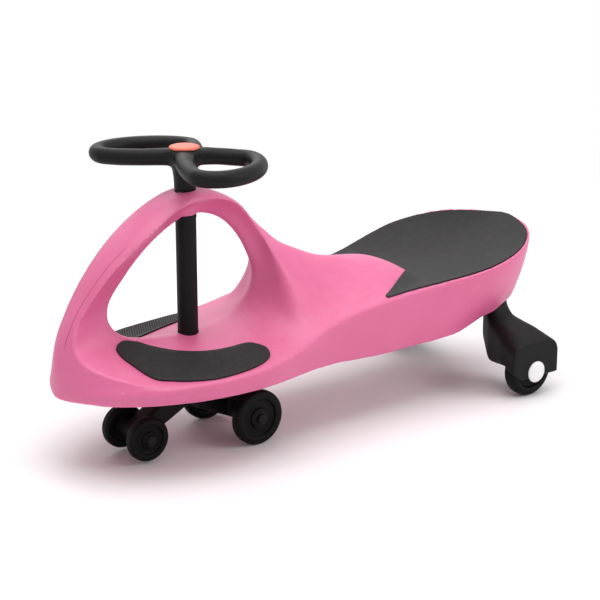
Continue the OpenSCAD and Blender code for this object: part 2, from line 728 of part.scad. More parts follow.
module steering_wheel() {
    color(black) at_column() rotate([0, 0, grip_yaw]) difference() {
        union() {
            wheel_hub();
            both_sides() {
                grip();
                grip_webs();
            }
        }
        translate([0, 0, stem_low_z - over]) cylinder(d = tube_d + 2 * part_gap, h = stem_grip + over);
        translate([0, 0, stem_low_z]) cylinder(d = hub_bolt_d + 2 * part_gap, h = cap_z - stem_low_z);
        translate([0, 0, bolt_seat_z]) cylinder(d = pocket_d, h = cap_z - bolt_seat_z);
        translate([0, 0, hub_top_z]) cylinder(d = hub_d, h = cap_t + grip_d);
    }
}

// A round lid: flat foot, short wall and domed top
lid_wall_share = 0.45;
lid_steps = 6;
function lid(d, t) = [for (i = [0 : lid_steps])
    let (a = quarter * i / lid_steps)
    [d / 2 * mix(1, cos(a), 1 - lid_wall_share / 2), t * mix(lid_wall_share, 1, sin(a))]];

module steering_cap() {
    color(coral) at_column() {
        translate([0, 0, hub_top_z])
            rotate_extrude() polygon(concat([[0, 0], [cap_d / 2, 0]], lid(cap_d, cap_t), [[0, cap_t]]));
        translate([0, 0, hub_top_z - spigot_t]) cylinder(d = pocket_d - 2 * part_gap, h = spigot_t);
    }
}

// The front truck: hub on the column, arm to the safety axle and beam on the main axle
hub_out = 1;
safety_z = safety_d / 2 + safety_lift;
function hub_half(w) = w / 2 + hub_out;
function axle_in(side, w) = side - hub_half(w) - part_gap;
function axle_out(side, w) = side + hub_half(w) + part_gap;
cap_grip = 3;
bore_d = axle_d + 2 * run_gap;
arm_root_share = 0.25;
saddle_rise = 30;
saddle_d = 22;
saddle_half = 44;
cross_z_share = 0.45;
cross_z = mix(truck_low_z, truck_top_z, cross_z_share);
cross_flat = 3;
cross_hex_share = 1.8;
cross_head_share = 0.7;
cross_seat = truck_hub_d / 2 - cross_flat;
cross_hex_d = cross_hex_share * cross_bolt_d;
cross_head = cross_head_share * cross_bolt_d;

module main_place() { translate([-main_back, 0, main_d / 2]) children(); }
module safety_place() { translate([safety_front, 0, safety_z]) children(); }
module cross_place() { translate([0, 0, cross_z]) children(); }
module cross_hole() { cross_place() rod_y(cross_bolt_d + 2 * run_gap, -truck_hub_d, truck_hub_d); }

module arm_root(low_share) {
    low = mix(truck_low_z, truck_top_z, low_share);
    translate([0, 0, low]) cylinder(d = arm_w, h = truck_top_z - low - flange_t, $fn = 32);
}

module saddle_bar(rise) {
    main_place() translate([0, 0, rise]) rod_y(saddle_d, -saddle_half, saddle_half, $fn = 32);
}

module steering_truck() {
    beam_half = axle_in(main_side, main_w) - spacer_t;
    boss_half = axle_in(safety_side, safety_w) - spacer_t;
    color(black) at_column() difference() {
        union() {
            translate([0, 0, truck_low_z]) cylinder(d = truck_hub_d, h = truck_hub_h);
            hull() {
                arm_root(arm_root_share);
                safety_place() rod_y(safety_boss_d, -arm_w / 2, arm_w / 2, $fn = 32);
            }
            hull() {
                arm_root(0);
                main_place() rod_y(beam_d, -arm_w / 2, arm_w / 2, $fn = 32);
            }
            hull() {
                saddle_bar(saddle_rise);
                saddle_bar(0);
            }
            hull() {
                saddle_bar(saddle_rise);
                arm_root(arm_root_share);
            }
            safety_place() rod_y(safety_boss_d, -boss_half, boss_half);
            main_place() rod_y(beam_d, -beam_half, beam_half);
        }
        translate([0, 0, tube_low_z]) cylinder(d = tube_d + 2 * run_gap, h = truck_hub_h);
        safety_place() rod_y(bore_d, -safety_side, safety_side);
        main_place() rod_y(bore_d, -main_side, main_side);
        cross_hole();
        both_sides() cross_place()
            rod_y(cross_hex_d + 2 * part_gap, cross_seat, truck_hub_d);
    }
}

module truck_bolt() {
    color(steel) at_column() cross_place() {
        rod_y(cross_bolt_d, -truck_hub_d / 2 - cross_flat, cross_seat);
        rod_y(cross_hex_d, cross_seat, cross_seat + cross_head, $fn = 6);
    }
}

module truck_nut() {
    color(steel) at_column() cross_place() difference() {
        rod_y(cross_hex_d, -cross_seat - cross_head, -cross_seat, $fn = 6);
        rod_y(cross_bolt_d + 2 * run_gap, -truck_hub_d, 0);
    }
}

// Axles with a spacer inside and a cap outside each wheel
module axle(side, w) { rod_y(axle_d, -axle_out(side, w) - cap_grip, axle_out(side, w) + cap_grip); }
module spacers(side, w) {
    both_sides() ring_y(spacer_d, bore_d, axle_in(side, w) - spacer_t, axle_in(side, w));
}
module axle_cap(d, t) {
    rotate([-quarter, 0, 0]) rotate_extrude() polygon(concat(
        [[0, cap_grip + run_gap], [bore_d / 2, cap_grip + run_gap], [bore_d / 2, 0], [d / 2, 0]],
        lid(d, t), [[0, t]]));
}
module axle_caps(side, w) {
    both_sides() translate([0, axle_out(side, w), 0]) axle_cap(axle_cap_d, axle_cap_t);
}

module main_axle() { color(steel) at_column() main_place() axle(main_side, main_w); }
module main_axle_caps() { color(black) at_column() main_place() axle_caps(main_side, main_w); }
module main_spacers() { color(nylon) at_column() main_place() spacers(main_side, main_w); }
module safety_axle() { color(steel) at_column() safety_place() axle(safety_side, safety_w); }
module safety_axle_caps() { color(black) at_column() safety_place() axle_caps(safety_side, safety_w); }
module safety_spacers() { color(nylon) at_column() safety_place() spacers(safety_side, safety_w); }

// A wheel: rounded tread, raised rim, dished face and stepped hub, as shares of radius and half width
wheel_shares = [[0.30, 0.90], [0.35, 0.90], [0.38, 0.45], [0.66, 0.45], [0.70, 0.92], [0.78, 1],
                [0.87, 0.97], [0.94, 0.85], [0.985, 0.64], [1, 0.40]];
hub_round_share = 0.25;
function wheel_side(d, w) = concat(
    [[bore_d / 2, hub_half(w)], [hub_round_share * d / 2, hub_half(w)]],
    [for (p = wheel_shares) [p[0] * d / 2, p[1] * w / 2]]);
module wheel(d, w) {
    side = wheel_side(d, w);
    rotate([quarter, 0, 0]) rotate_extrude() polygon(concat(
        side, [for (i = [len(side) - 1 : -1 : 0]) [side[i][0], -side[i][1]]]));
}

module main_wheel() { main_place() translate([0, main_side, 0]) wheel(main_d, main_w); }
module safety_wheel() { safety_place() translate([0, safety_side, 0]) wheel(safety_d, safety_w); }
module main_wheel_left() { color(black) at_column() main_wheel(); }
module main_wheel_right() { color(black) at_column() mirror([0, 1, 0]) main_wheel(); }
module safety_wheel_left() { color(black) at_column() safety_wheel(); }
module safety_wheel_right() { color(black) at_column() mirror([0, 1, 0]) safety_wheel(); }

// A rear housing: post into the body, arm outward and hood with two plates over the wheel
hood_in = axle_in(rear_side, rear_w) - spacer_t;
hood_out = axle_out(rear_side, rear_w) + spacer_t;
plate_out = hood_out + hood_wall;
hood_r = rear_d / 2 + hood_gap;
hood_half = hood_r + hood_wall;
hood_top_z = rear_d / 2 + hood_half;
rear_axle_grip = 18;
post_low_z = 64;
arm_top_z = 119;
shoulder_half_share = 0.58;
shoulder_low_share = 0.22;
shoulder_rise = 17;
shoulder_side = 83;
shoulder_lift = 5;
inner_half_share = 0.86;
inner_rise = 10;
corner_cut = 16;
corner_rise = 12;

module rear_place() { translate([-rear_back, 0, rear_d / 2]) children(); }

// Outline of a housing at one place along its axle
module hood_slice(y, top, half, low) {
    for (x = [-1, 1])
        translate([x * (half - hood_corner) - rear_back, y, top - hood_corner])
            rod_y(2 * hood_corner, 0, over, $fn = 32);
    translate([-rear_back - half, y, low]) cube([2 * half - corner_cut, over, over]);
    translate([-rear_back - half, y, low + corner_rise])
        cube([2 * half, over, top - low - corner_rise - hood_corner]);
}

module inner_slice() {
    hood_slice(hood_in - hood_wall, hood_top_z + hood_fall, inner_half_share * hood_half,
               plate_z + inner_rise);
}

module arm_slice() {
    half = hood_half * shoulder_half_share;
    low = mix(plate_z, hood_top_z, shoulder_low_share);
    for (x = [-1, 1], z = [low + shoulder_rise / 2, hood_top_z + shoulder_lift])
        translate([x * (half - shoulder_rise / 2) - rear_back, shoulder_side, z])
            rod_y(shoulder_rise, 0, over, $fn = 24);
}

module housing_arm() {
    hull() {
        translate([-post_back, post_side, post_low_z])
            cylinder(d = post_d, h = arm_top_z - post_low_z, $fn = 32);
        arm_slice();
    }
    hull() {
        arm_slice();
        inner_slice();
    }
}

module rear_housing() {
    difference() {
        union() {
            translate([-post_back, post_side, post_low_z]) cylinder(d = post_d, h = post_top_z - post_low_z);
            housing_arm();
            hull() {
                inner_slice();
                hood_slice(plate_out - over, hood_top_z, hood_half, plate_z);
            }
        }
        rear_place() rod_y(2 * hood_r, hood_in, hood_out);
        translate([-rear_back - hood_r, hood_in, 0]) cube([2 * hood_r, hood_out - hood_in, rear_d / 2]);
        rear_place() rod_y(bore_d, hood_in - rear_axle_grip, plate_out + over);
    }
}

module rear_axle() { rear_place() rod_y(axle_d, hood_in - rear_axle_grip + part_gap, plate_out + cap_grip); }
module rear_spacers() {
    rear_place() ring_y(spacer_d, bore_d, hood_in, hood_in + spacer_t);
    rear_place() ring_y(spacer_d, bore_d, hood_out - spacer_t, hood_out);
}
module rear_cap() { rear_place() translate([0, plate_out, 0]) axle_cap(rear_cap_d, rear_cap_t); }
module rear_wheel() { rear_place() translate([0, rear_side, 0]) wheel(rear_d, rear_w); }

module rear_housing_left() { color(black) at_column() rear_housing(); }
module rear_housing_right() { color(black) at_column() mirror([0, 1, 0]) rear_housing(); }
module rear_axle_left() { color(steel) at_column() rear_axle(); }
module rear_axle_right() { color(steel) at_column() mirror([0, 1, 0]) rear_axle(); }
module rear_spacers_left() { color(nylon) at_column() rear_spacers(); }
module rear_spacers_right() { color(nylon) at_column() mirror([0, 1, 0]) rear_spacers(); }
module rear_cap_left() { color(white) at_column() rear_cap(); }
module rear_cap_right() { color(white) at_column() mirror([0, 1, 0]) rear_cap(); }
module rear_wheel_left() { color(black) at_column() rear_wheel(); }
module rear_wheel_right() { color(black) at_column() mirror([0, 1, 0]) rear_wheel(); }

body_shell();
seat_mat();
foot_mat_left();
foot_mat_right();
upper_bush();
lower_bush();
steering_wheel();
steering_cap();
steering_bolt();
column_insert();
column_tube();
column_sleeve();
thrust_washer();
steering_truck();
truck_bolt();
truck_nut();
main_axle();
main_axle_caps();
main_spacers();
safety_axle();
safety_axle_caps();
safety_spacers();
main_wheel_left();
main_wheel_right();
safety_wheel_left();
safety_wheel_right();
rear_housing_left();
rear_housing_right();
rear_axle_left();
rear_axle_right();
rear_spacers_left();
rear_spacers_right();
rear_cap_left();
rear_cap_right();
rear_wheel_left();
rear_wheel_right();
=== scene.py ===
import json
import math
import bmesh
import bpy
import numpy as np
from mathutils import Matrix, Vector
from mathutils.bvhtree import BVHTree

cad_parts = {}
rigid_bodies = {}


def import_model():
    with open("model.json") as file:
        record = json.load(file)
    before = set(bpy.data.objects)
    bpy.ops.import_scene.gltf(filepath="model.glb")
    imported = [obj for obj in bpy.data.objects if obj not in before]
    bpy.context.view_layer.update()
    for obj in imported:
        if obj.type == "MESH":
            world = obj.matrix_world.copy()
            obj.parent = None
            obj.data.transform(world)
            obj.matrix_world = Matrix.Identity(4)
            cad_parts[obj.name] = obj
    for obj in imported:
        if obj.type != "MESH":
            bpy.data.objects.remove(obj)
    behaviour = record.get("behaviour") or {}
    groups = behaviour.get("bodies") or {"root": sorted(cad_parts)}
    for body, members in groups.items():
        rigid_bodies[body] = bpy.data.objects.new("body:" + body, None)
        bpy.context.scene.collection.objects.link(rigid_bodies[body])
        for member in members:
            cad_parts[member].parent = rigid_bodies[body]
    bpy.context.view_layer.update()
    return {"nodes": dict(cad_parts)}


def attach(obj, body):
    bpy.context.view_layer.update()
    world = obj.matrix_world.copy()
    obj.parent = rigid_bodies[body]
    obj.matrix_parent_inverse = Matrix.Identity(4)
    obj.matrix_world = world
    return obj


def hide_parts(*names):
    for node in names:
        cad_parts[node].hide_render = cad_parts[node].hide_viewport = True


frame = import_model()
scene = bpy.context.scene
print("frame loaded:", len(frame["nodes"]), "nodes")

mm = 0.001
columnX = 188  # the steering column stands this far in front of the middle of the car
origin = (0, 0, 0)
quarterTurn = math.pi / 2
fullTurn = 2 * math.pi
tiny = 1e-9  # keeps a length from being zero where it divides

# Settings of the mesh helpers: share is how far a point moves to its neighbours in one round
meshLook = {"mergeReach": 1e-6, "leastRadius": 0.02, "share": 0.5, "leastSpan": 1e-6, "bulgeScale": 4,
            "ballSplits": 3}


# Mesh helpers: every shape is worked out in millimetres from the column axis

def toFrame(points):
    return (np.asarray(points, float).reshape(-1, 3) + (columnX, 0, 0)) * mm


def fromFrame(points):
    return np.asarray(points) / mm - (columnX, 0, 0)


def addObject(name, data):
    made = bpy.data.objects.new(name, data)
    scene.collection.objects.link(made)
    return made


def pieceFrom(name, work):
    mesh = bpy.data.meshes.new(name)
    work.to_mesh(mesh)
    work.free()
    return addObject(name, mesh)


def makePiece(name, points, faces):
    mesh = bpy.data.meshes.new(name)
    mesh.from_pydata(toFrame(points).tolist(), [], [list(map(int, f)) for f in faces])
    work = bmesh.new()
    work.from_mesh(mesh)
    bmesh.ops.remove_doubles(work, verts=work.verts, dist=meshLook["mergeReach"])
    bmesh.ops.recalc_face_normals(work, faces=work.faces)
    work.to_mesh(mesh)
    work.free()
    return addObject(name, mesh)


def dropPiece(piece):
    mesh = piece.data
    bpy.data.objects.remove(piece)
    bpy.data.meshes.remove(mesh)


def bakeModifiers(piece):
    bpy.context.view_layer.update()
    graph = bpy.context.evaluated_depsgraph_get()
    mesh = bpy.data.meshes.new_from_object(piece.evaluated_get(graph))
    piece.modifiers.clear()
    old = piece.data
    piece.data = mesh
    bpy.data.meshes.remove(old)
    return piece


def combine(piece, others, operation):
    for other in others:
        step = piece.modifiers.new("combine", "BOOLEAN")
        step.operation, step.solver, step.object = operation, "MANIFOLD", other
    bakeModifiers(piece)
    for other in others:
        dropPiece(other)


def loft(name, rings):
    rings = np.asarray(rings, float)
    count, n = rings.shape[:2]
    a = (np.arange(count - 1)[:, None] * n + np.arange(n)[None]).ravel()
    b = (np.arange(count - 1)[:, None] * n + (np.arange(n)[None] + 1) % n).ravel()
    faces = np.stack([a, a + n, b + n, b], 1).tolist()
    faces += [list(range(n)), list(range((count - 1) * n, count * n))]
    return makePiece(name, rings.reshape(-1, 3), faces)


# Faces of a grid that closes on itself both ways
def ringFaces(count, n):
    i, j = np.meshgrid(np.arange(count), np.arange(n), indexing="ij")
    nextI, nextJ = (i + 1) % count, (j + 1) % n
    return np.stack([i * n + j, i * n + nextJ, nextI * n + nextJ, nextI * n + j], -1).reshape(-1, 4)


def circle(radius, along, axis, count):
    turn = np.linspace(0, fullTurn, count, endpoint=False)
    flat = np.stack([radius * np.cos(turn), radius * np.sin(turn), np.full(count, along)], 1)
    return flat if axis == "z" else flat[:, [0, 2, 1]]


def lathe(name, profile, place=origin, axis="z", segments=72):
    rings = [circle(max(radius, meshLook["leastRadius"]), along, axis, segments) for radius, along in profile]
    return loft(name, np.asarray(rings) + np.asarray(place, float))


def rod(name, diameter, start, end, place=origin, axis="z", segments=48):
    return lathe(name, [(diameter / 2, start), (diameter / 2, end)], place, axis, segments)


# Corners of a turned profile drawn as small arcs
def roundCorners(profile, radius, steps=4, mostShare=0.45):
    p = np.array(profile, float)
    out = [p[0]]
    for before, here, after in zip(p[:-2], p[1:-1], p[2:]):
        a, b = before - here, after - here
        reach = min(radius, np.linalg.norm(a) * mostShare, np.linalg.norm(b) * mostShare)
        start, end = here + a / np.linalg.norm(a) * reach, here + b / np.linalg.norm(b) * reach
        for s in np.linspace(0, 1, steps + 1):
            out.append(start * (1 - s) ** 2 + here * 2 * s * (1 - s) + end * s * s)
    out.append(p[-1])
    return np.array(out)


def convexPiece(name, *sets):
    work = bmesh.new()
    for p in toFrame(np.concatenate(sets)):
        work.verts.new(p)
    made = bmesh.ops.convex_hull(work, input=work.verts)
    spare = [v for v in made["geom_interior"] + made["geom_unused"] if isinstance(v, bmesh.types.BMVert)]
    bmesh.ops.delete(work, geom=list(set(spare)), context="VERTS")
    bmesh.ops.recalc_face_normals(work, faces=work.faces)
    return pieceFrom(name, work)


def boxPoints(low, high):
    corners = [(x, y, z) for x in (low[0], high[0]) for y in (low[1], high[1]) for z in (low[2], high[2])]
    return np.array(corners, float)


def discStack(diameter, place, levels, axis="z", count=32):
    discs = [circle(diameter / 2, level, axis, count) for level in levels]
    return np.concatenate(discs) + np.asarray(place, float)


def ballPoints(diameter, place):
    work = bmesh.new()
    bmesh.ops.create_icosphere(work, subdivisions=meshLook["ballSplits"], radius=diameter / 2)
    points = np.array([v.co[:] for v in work.verts]) + place
    work.free()
    return points


def turnedPoints(points, degrees):
    t = math.radians(degrees)
    x, y, z = np.array(points, float).T
    return np.stack([x * math.cos(t) - y * math.sin(t), x * math.sin(t) + y * math.cos(t), z], 1)


def mirrored(points):
    return np.asarray(points, float) * (1, -1, 1)


def joinShells(name, shells):
    work = bmesh.new()
    for shell in shells:
        work.from_mesh(shell.data)
        dropPiece(shell)
    return pieceFrom(name, work)


def readMesh(items, field, width, kind=float):
    values = np.zeros(len(items) * width, kind)
    items.foreach_get(field, values)
    return values.reshape(-1, width)


def meshPoints(piece):
    return readMesh(piece.data.vertices, "co", 3)


def meshNormals(piece):
    return readMesh(piece.data.vertices, "normal", 3)


# The edges of a mesh, and how many of them meet at each point
def meshNet(piece):
    edges = readMesh(piece.data.edges, "vertices", 2, int)
    return edges, np.maximum(np.bincount(edges.ravel(), minlength=len(piece.data.vertices)), 1)


def neighbourMean(values, net):
    edges, count = net
    total = np.zeros_like(values)
    for k in range(values.shape[1]):
        total[:, k] = (np.bincount(edges[:, 0], values[edges[:, 1], k], len(values))
                       + np.bincount(edges[:, 1], values[edges[:, 0], k], len(values)))
    return total / count[:, None]


# Values are changed in place
def settle(values, net, rounds, share):
    for k in range(rounds):
        values += share * (neighbourMean(values, net) - values)


def relax(piece, rounds, weight=None):
    points, share = meshPoints(piece), meshLook["share"]
    if weight:
        share = share * weight(fromFrame(points))[:, None]
    settle(points, meshNet(piece), rounds, share)
    piece.data.vertices.foreach_set("co", points.ravel())
    piece.data.update()


def skinOver(piece, voxel, rounds, weight=None):
    step = piece.modifiers.new("skin", "REMESH")
    step.mode, step.voxel_size = "VOXEL", voxel * mm
    relax(bakeModifiers(piece), rounds, weight)


def thinMesh(piece, most):
    count = sum(len(face.vertices) - 2 for face in piece.data.polygons)
    if count > most:
        step = piece.modifiers.new("thin", "DECIMATE")
        step.ratio = most / count
        bakeModifiers(piece)


def softEdge(piece, width, segments=3, degrees=50):
    step = piece.modifiers.new("softEdge", "BEVEL")
    step.width, step.segments = width * mm, segments
    step.limit_method, step.angle_limit = "ANGLE", math.radians(degrees)
    return bakeModifiers(piece)


def storeField(piece, name, values):
    field = piece.data.attributes.new(name, "FLOAT", "POINT")
    field.data.foreach_set("value", values.astype(np.float32))


# How far each point stands out from its neighbours, for rubbed edges with a painted highlight and painted
# shade in hollows
def storeEdges(piece, rounds):
    points, net = meshPoints(piece), meshNet(piece)
    start, end = net[0].T
    length = np.linalg.norm(points[start] - points[end], axis=1)
    span = (np.bincount(start, length, len(points)) + np.bincount(end, length, len(points))) / net[1]
    sunk = ((neighbourMean(points, net) - points) * meshNormals(piece)).sum(1)
    bulge = -sunk / np.maximum(span, meshLook["leastSpan"]) ** 2 * meshLook["bulgeScale"] * mm
    bulge = np.clip(bulge, -1, 1)[:, None]
    settle(bulge, net, rounds, meshLook["share"])
    storeField(piece, "bulgeForRubAndShade", bulge[:, 0])


def finishSkin(piece, rounds=4, degrees=38):
    piece.data.polygons.foreach_set("use_smooth", np.ones(len(piece.data.polygons), bool))
    piece.data.set_sharp_from_angle(angle=math.radians(degrees))
    storeEdges(piece, rounds)
    return piece


def wear(piece, finish):
    piece.data.materials.clear()
    piece.data.materials.append(finishes[finish])


# The car's form, shared by the body and the mats that lie on it

carForm = {
    "noseReach": 199, "tailReach": 575, "deckWideBack": 20, "waistFrontBack": 190, "waistRearBack": 290,
    "seatWideBack": 440, "deckWidth": 262, "waistWidth": 208, "seatWidth": 262, "skirtDraw": 50,
    "skirtZ": 98, "tailEdgeZ": 188, "deckRimZ": 128, "tailRimZ": 229, "archZ": 346, "noseZ": 148,
    "dishZ": 166, "openingFront": 122, "openingRear": 102, "deckZ": 155, "openingTopZ": 311,
    "openingBand": 8, "troughDepth": 11, "tongueBack": 362, "rimFlatFront": 40, "noseRimDrop": 10,
    "archTopBack": 3, "dishStartBack": 220, "limbBack": 120, "limbFrontBack": 50, "lobeBack": 310,
    "lobeFrontBack": 215, "nosePower": 0.54, "tailPower": 0.6, "spineRun": 1.55, "spineFall": 0.68,
    "seatPower": 2.5, "lobePower": 1.5, "limbPower": 3, "dishPower": 3.5, "alongStep": 0.01,
    "wellBend": 1.2, "archBend": 0.72, "bendSpan": 0.24, "bendBack": 0.92, "bendBackSpan": 0.08,
    "rimClimb": [[0, 0], [0.11, 0.035], [0.21, 0.13], [0.31, 0.30], [0.42, 0.43], [0.585, 0.54],
                 [0.73, 0.68], [0.83, 0.82], [0.93, 0.96], [1, 1]],
    "saddle": [[0, 1], [0.075, 0.985], [0.185, 0.875], [0.26, 0.735], [0.33, 0.61], [0.395, 0.5],
               [0.495, 0.405], [0.565, 0.345], [0.63, 0.3], [0.735, 0.255], [0.85, 0.21], [0.9, 0.178],
               [0.94, 0.135], [0.97, 0.09], [0.99, 0.04], [1, 0]],
    "dish": [[0, 0], [0.36, 0.01], [0.64, 0.19], [0.83, 0.53], [1, 1]],
    "draw": [[0, 0.16], [0.2, 0.22], [0.45, 0.22], [0.62, 0.24], [0.75, 0.54], [0.83, 1], [0.87, 0.86],
             [0.91, 0.60], [0.95, 0.44], [1, 0.1]],
    "edge": [[0, 0.07], [0.12, 0.04], [0.3, 0.03], [0.45, 0.01], [0.6, -0.05], [0.75, -0.03], [0.83, 0.03],
             [0.86, 0.09], [0.885, 0.21], [0.91, 0.33], [0.95, 0.64], [0.98, 0.92], [1, 1]],
    # edge of the opening (along, up), rim that the scoop runs out to (along, across), trough
    "scoop": [[-0.76, 0.10, -0.65, 0.85, 0.1], [-0.56, 0.04, -0.52, 0.97, 0], [-0.30, 0.015, -0.36, 1, 0],
              [0, 0, -0.13, 1, 0], [0.25, 0, 0.08, 1, 0], [0.49, 0.02, 0.28, 0.995, 0],
              [0.70, 0.05, 0.485, 0.965, 0], [0.845, 0.10, 0.67, 0.89, 0.1], [0.93, 0.16, 0.81, 0.81, 0.2],
              [0.985, 0.23, 0.895, 0.70, 0.2], [1, 0.305, 0.92, 0.53, 0.1], [0.975, 0.39, 0.885, 0.35, 0],
              [0.91, 0.47, 0.83, 0.322, 0], [0.81, 0.56, 0.755, 0.305, 0], [0.68, 0.67, 0.665, 0.297, 0],
              [0.51, 0.79, 0.535, 0.308, 0.1], [0.295, 0.905, 0.365, 0.305, 0.2],
              [0.065, 0.985, 0.155, 0.275, 0.3], [-0.2, 1, -0.05, 0.28, 0.3], [-0.46, 0.945, -0.2, 0.27, 0.4],
              [-0.665, 0.84, -0.325, 0.245, 0.5], [-0.82, 0.71, -0.445, 0.21, 0.5],
              [-0.93, 0.57, -0.545, 0.18, 0.5], [-0.995, 0.43, -0.605, 0.265, 0.5],
              [-0.995, 0.305, -0.645, 0.40, 0.4], [-0.92, 0.195, -0.665, 0.62, 0.2]],
}


def clamp(v):
    return np.clip(v, 0, 1)


def ease(v):
    s = clamp(v)
    return s * s * (3 - 2 * s)


def rising(v, start, span):
    return ease((v - start) / span)


def falling(v, start, span):
    return ease((start - v) / span)


def mix(a, b, s):
    return a + (b - a) * s


# A smooth line through the points of a table
def curve(table, t):
    x, y = np.array(table, float).T
    low, high = np.maximum(np.arange(len(x)) - 1, 0), np.minimum(np.arange(len(x)) + 1, len(x) - 1)
    slope = (y[high] - y[low]) / (x[high] - x[low])
    i = np.clip(np.searchsorted(x, t, side="right") - 1, 0, len(x) - 2)
    h = x[i + 1] - x[i]
    s = clamp((t - x[i]) / h)
    return mix(y[i], y[i + 1], ease(s)) + h * (slope[i] * s * (1 - s) ** 2 - slope[i + 1] * s * s * (1 - s))


def endHalf(width, run, power):
    return width * np.maximum(1 - np.maximum(run, 0) ** 2, 0) ** power


# Half the width of the car at its rim
def planHalf(x, inset=0):
    c = carForm
    nose = (x + c["deckWideBack"]) / (c["noseReach"] - inset + c["deckWideBack"])
    front = endHalf(c["deckWidth"] / 2 - inset, nose, c["nosePower"])
    a = falling(x, -c["deckWideBack"], c["waistFrontBack"] - c["deckWideBack"])
    b = falling(x, -c["waistRearBack"], c["seatWideBack"] - c["waistRearBack"])
    middle = mix(mix(c["deckWidth"] / 2, c["waistWidth"] / 2, a), c["seatWidth"] / 2, b) - inset
    tail = (-x - c["seatWideBack"]) / (c["tailReach"] - inset - c["seatWideBack"])
    back = endHalf(c["seatWidth"] / 2 - inset, tail, c["tailPower"])
    return np.where(x > -c["deckWideBack"], front, np.where(x > -c["seatWideBack"], middle, back))


def rimZ(x):
    c = carForm
    climb = curve(c["rimClimb"], (c["rimFlatFront"] - x) / (c["rimFlatFront"] + c["tailReach"]))
    drop = rising(x, c["rimFlatFront"], c["noseReach"] - c["rimFlatFront"])
    return mix(c["deckRimZ"], c["tailRimZ"], climb) - c["noseRimDrop"] * drop


# The line along the middle: nose, front spine, arch, saddle and seat
def crestZ(x):
    c = carForm
    run = np.maximum((x + c["archTopBack"]) / (c["noseReach"] + c["archTopBack"]), 0)
    spine = mix(c["noseZ"], c["archZ"], np.maximum(1 - run ** c["spineRun"], 0) ** c["spineFall"])
    fall = curve(c["saddle"], (-c["archTopBack"] - x) / (c["tongueBack"] - c["archTopBack"]))
    rise = curve(c["dish"], (-c["tongueBack"] - x) / (c["tailReach"] - c["tongueBack"]))
    saddle, seat = mix(c["dishZ"], c["archZ"], fall), mix(c["dishZ"], c["tailRimZ"], rise)
    return np.where(x > -c["archTopBack"], spine, np.where(x > -c["tongueBack"], saddle, seat))


def dishDepth(x):
    c = carForm
    full = rimZ(np.array(-float(c["tongueBack"]))) - c["dishZ"]
    start = full * falling(x, -c["dishStartBack"], c["tongueBack"] - c["dishStartBack"])
    return np.where(x < -c["tongueBack"], rimZ(x) - crestZ(x), start)


# Height of the top at a share s of the way from the middle to the rim
def topZ(x, s):
    c = carForm
    d = dishDepth(x)
    power = mix(c["seatPower"], c["lobePower"], rising(x, -c["lobeBack"], c["lobeBack"] - c["lobeFrontBack"]))
    power = mix(power, c["limbPower"], rising(x, -c["limbBack"], c["limbBack"] - c["limbFrontBack"]))
    hump = np.maximum(1 - s ** power, 0) ** 2
    return rimZ(x) - d * (1 - s ** c["dishPower"]) + (crestZ(x) - rimZ(x) + d) * hump


def along(x):
    return (carForm["noseReach"] - x) / (carForm["noseReach"] + carForm["tailReach"])


def edgeHalf(x):
    return np.maximum(planHalf(x) - carForm["skirtDraw"] * curve(carForm["draw"], along(x)), planHalf(x) / 2)


def edgeZ(x):
    return mix(carForm["skirtZ"], carForm["tailEdgeZ"], curve(carForm["edge"], along(x)))


# One column of the scoop table, as a smooth line that closes on itself
def roundValue(column, t):
    table = np.array(carForm["scoop"])[:, column]
    n = len(table)
    i = np.floor(t * n).astype(int)
    s = t * n - i
    a, b, c, d = (table[(i + k) % n] for k in (-1, 0, 1, 2))
    return mix(b, c, ease(s)) + ((c - a) * s * (1 - s) ** 2 - (d - b) * s * s * (1 - s)) / 2


def openingPoint(t):
    c = carForm
    a = roundValue(0, t)
    x = a * np.where(a > 0, c["openingFront"], c["openingRear"])
    z = mix(c["deckZ"], c["openingTopZ"], roundValue(1, t))
    return np.stack([x, np.full_like(x, c["openingBand"] / 2), z], -1)


def scoopRim(t):
    a = roundValue(2, t)
    x = a * np.where(a > 0, carForm["noseReach"], carForm["waistFrontBack"])
    s = np.minimum(roundValue(3, t), 1)
    return np.stack([x, s * planHalf(x), topZ(x, s)], -1)


def outward(t):
    step = carForm["alongStep"]
    d = openingPoint((t + step) % 1) - openingPoint((t - step) % 1)
    out = np.stack([d[..., 2], np.zeros_like(t), -d[..., 0]], -1)
    return out / np.linalg.norm(out, axis=-1, keepdims=True)


# A point of the scoop: t runs round the opening, f from the opening out to the rim
def scoopPoint(t, f):
    c = carForm
    turned = ease(t / c["bendSpan"]) - rising(t, c["bendBack"], c["bendBackSpan"])
    bend = mix(c["wellBend"], c["archBend"], turned)
    h, f = (f ** bend)[..., None], f[..., None]
    level = np.concatenate([h, f, h], -1)
    trough = (c["troughDepth"] * roundValue(4, t))[..., None]
    return mix(openingPoint(t), scoopRim(t), level) + outward(t) * trough * 4 * f * (1 - f)


# Shader groups, shared by the finishes

groupLook = {
    "fineDetail": 2.0, "rippleDetail": 2.0, "rippleRough": 0.4, "toneScale": 9.0, "toneDetail": 3.0,
    "scuffDetail": 4.0, "scuffRough": 0.65, "lineStretch": (0.25, 1.0, 1.6),
    "crossStretch": (1.3, 0.3, 0.9), "lineRange": (0.62, 0.72), "crossRange": (0.64, 0.74),
    "patchScale": 7.0, "patchDetail": 2.0, "patchRange": (0.45, 0.7), "unevenScale": 30.0,
    "unevenDetail": 3.0, "unevenRange": (0.25, 0.75, 0.45, 1.0), "rubAndHighlightRange": (0.06, 0.4),
    "hollowShadeRange": (-0.05, -0.4), "upperRange": (0.3, 1.0), "speckDetail": 5.0, "speckRough": 0.7,
    "speckRange": (0.4, 0.75),
}


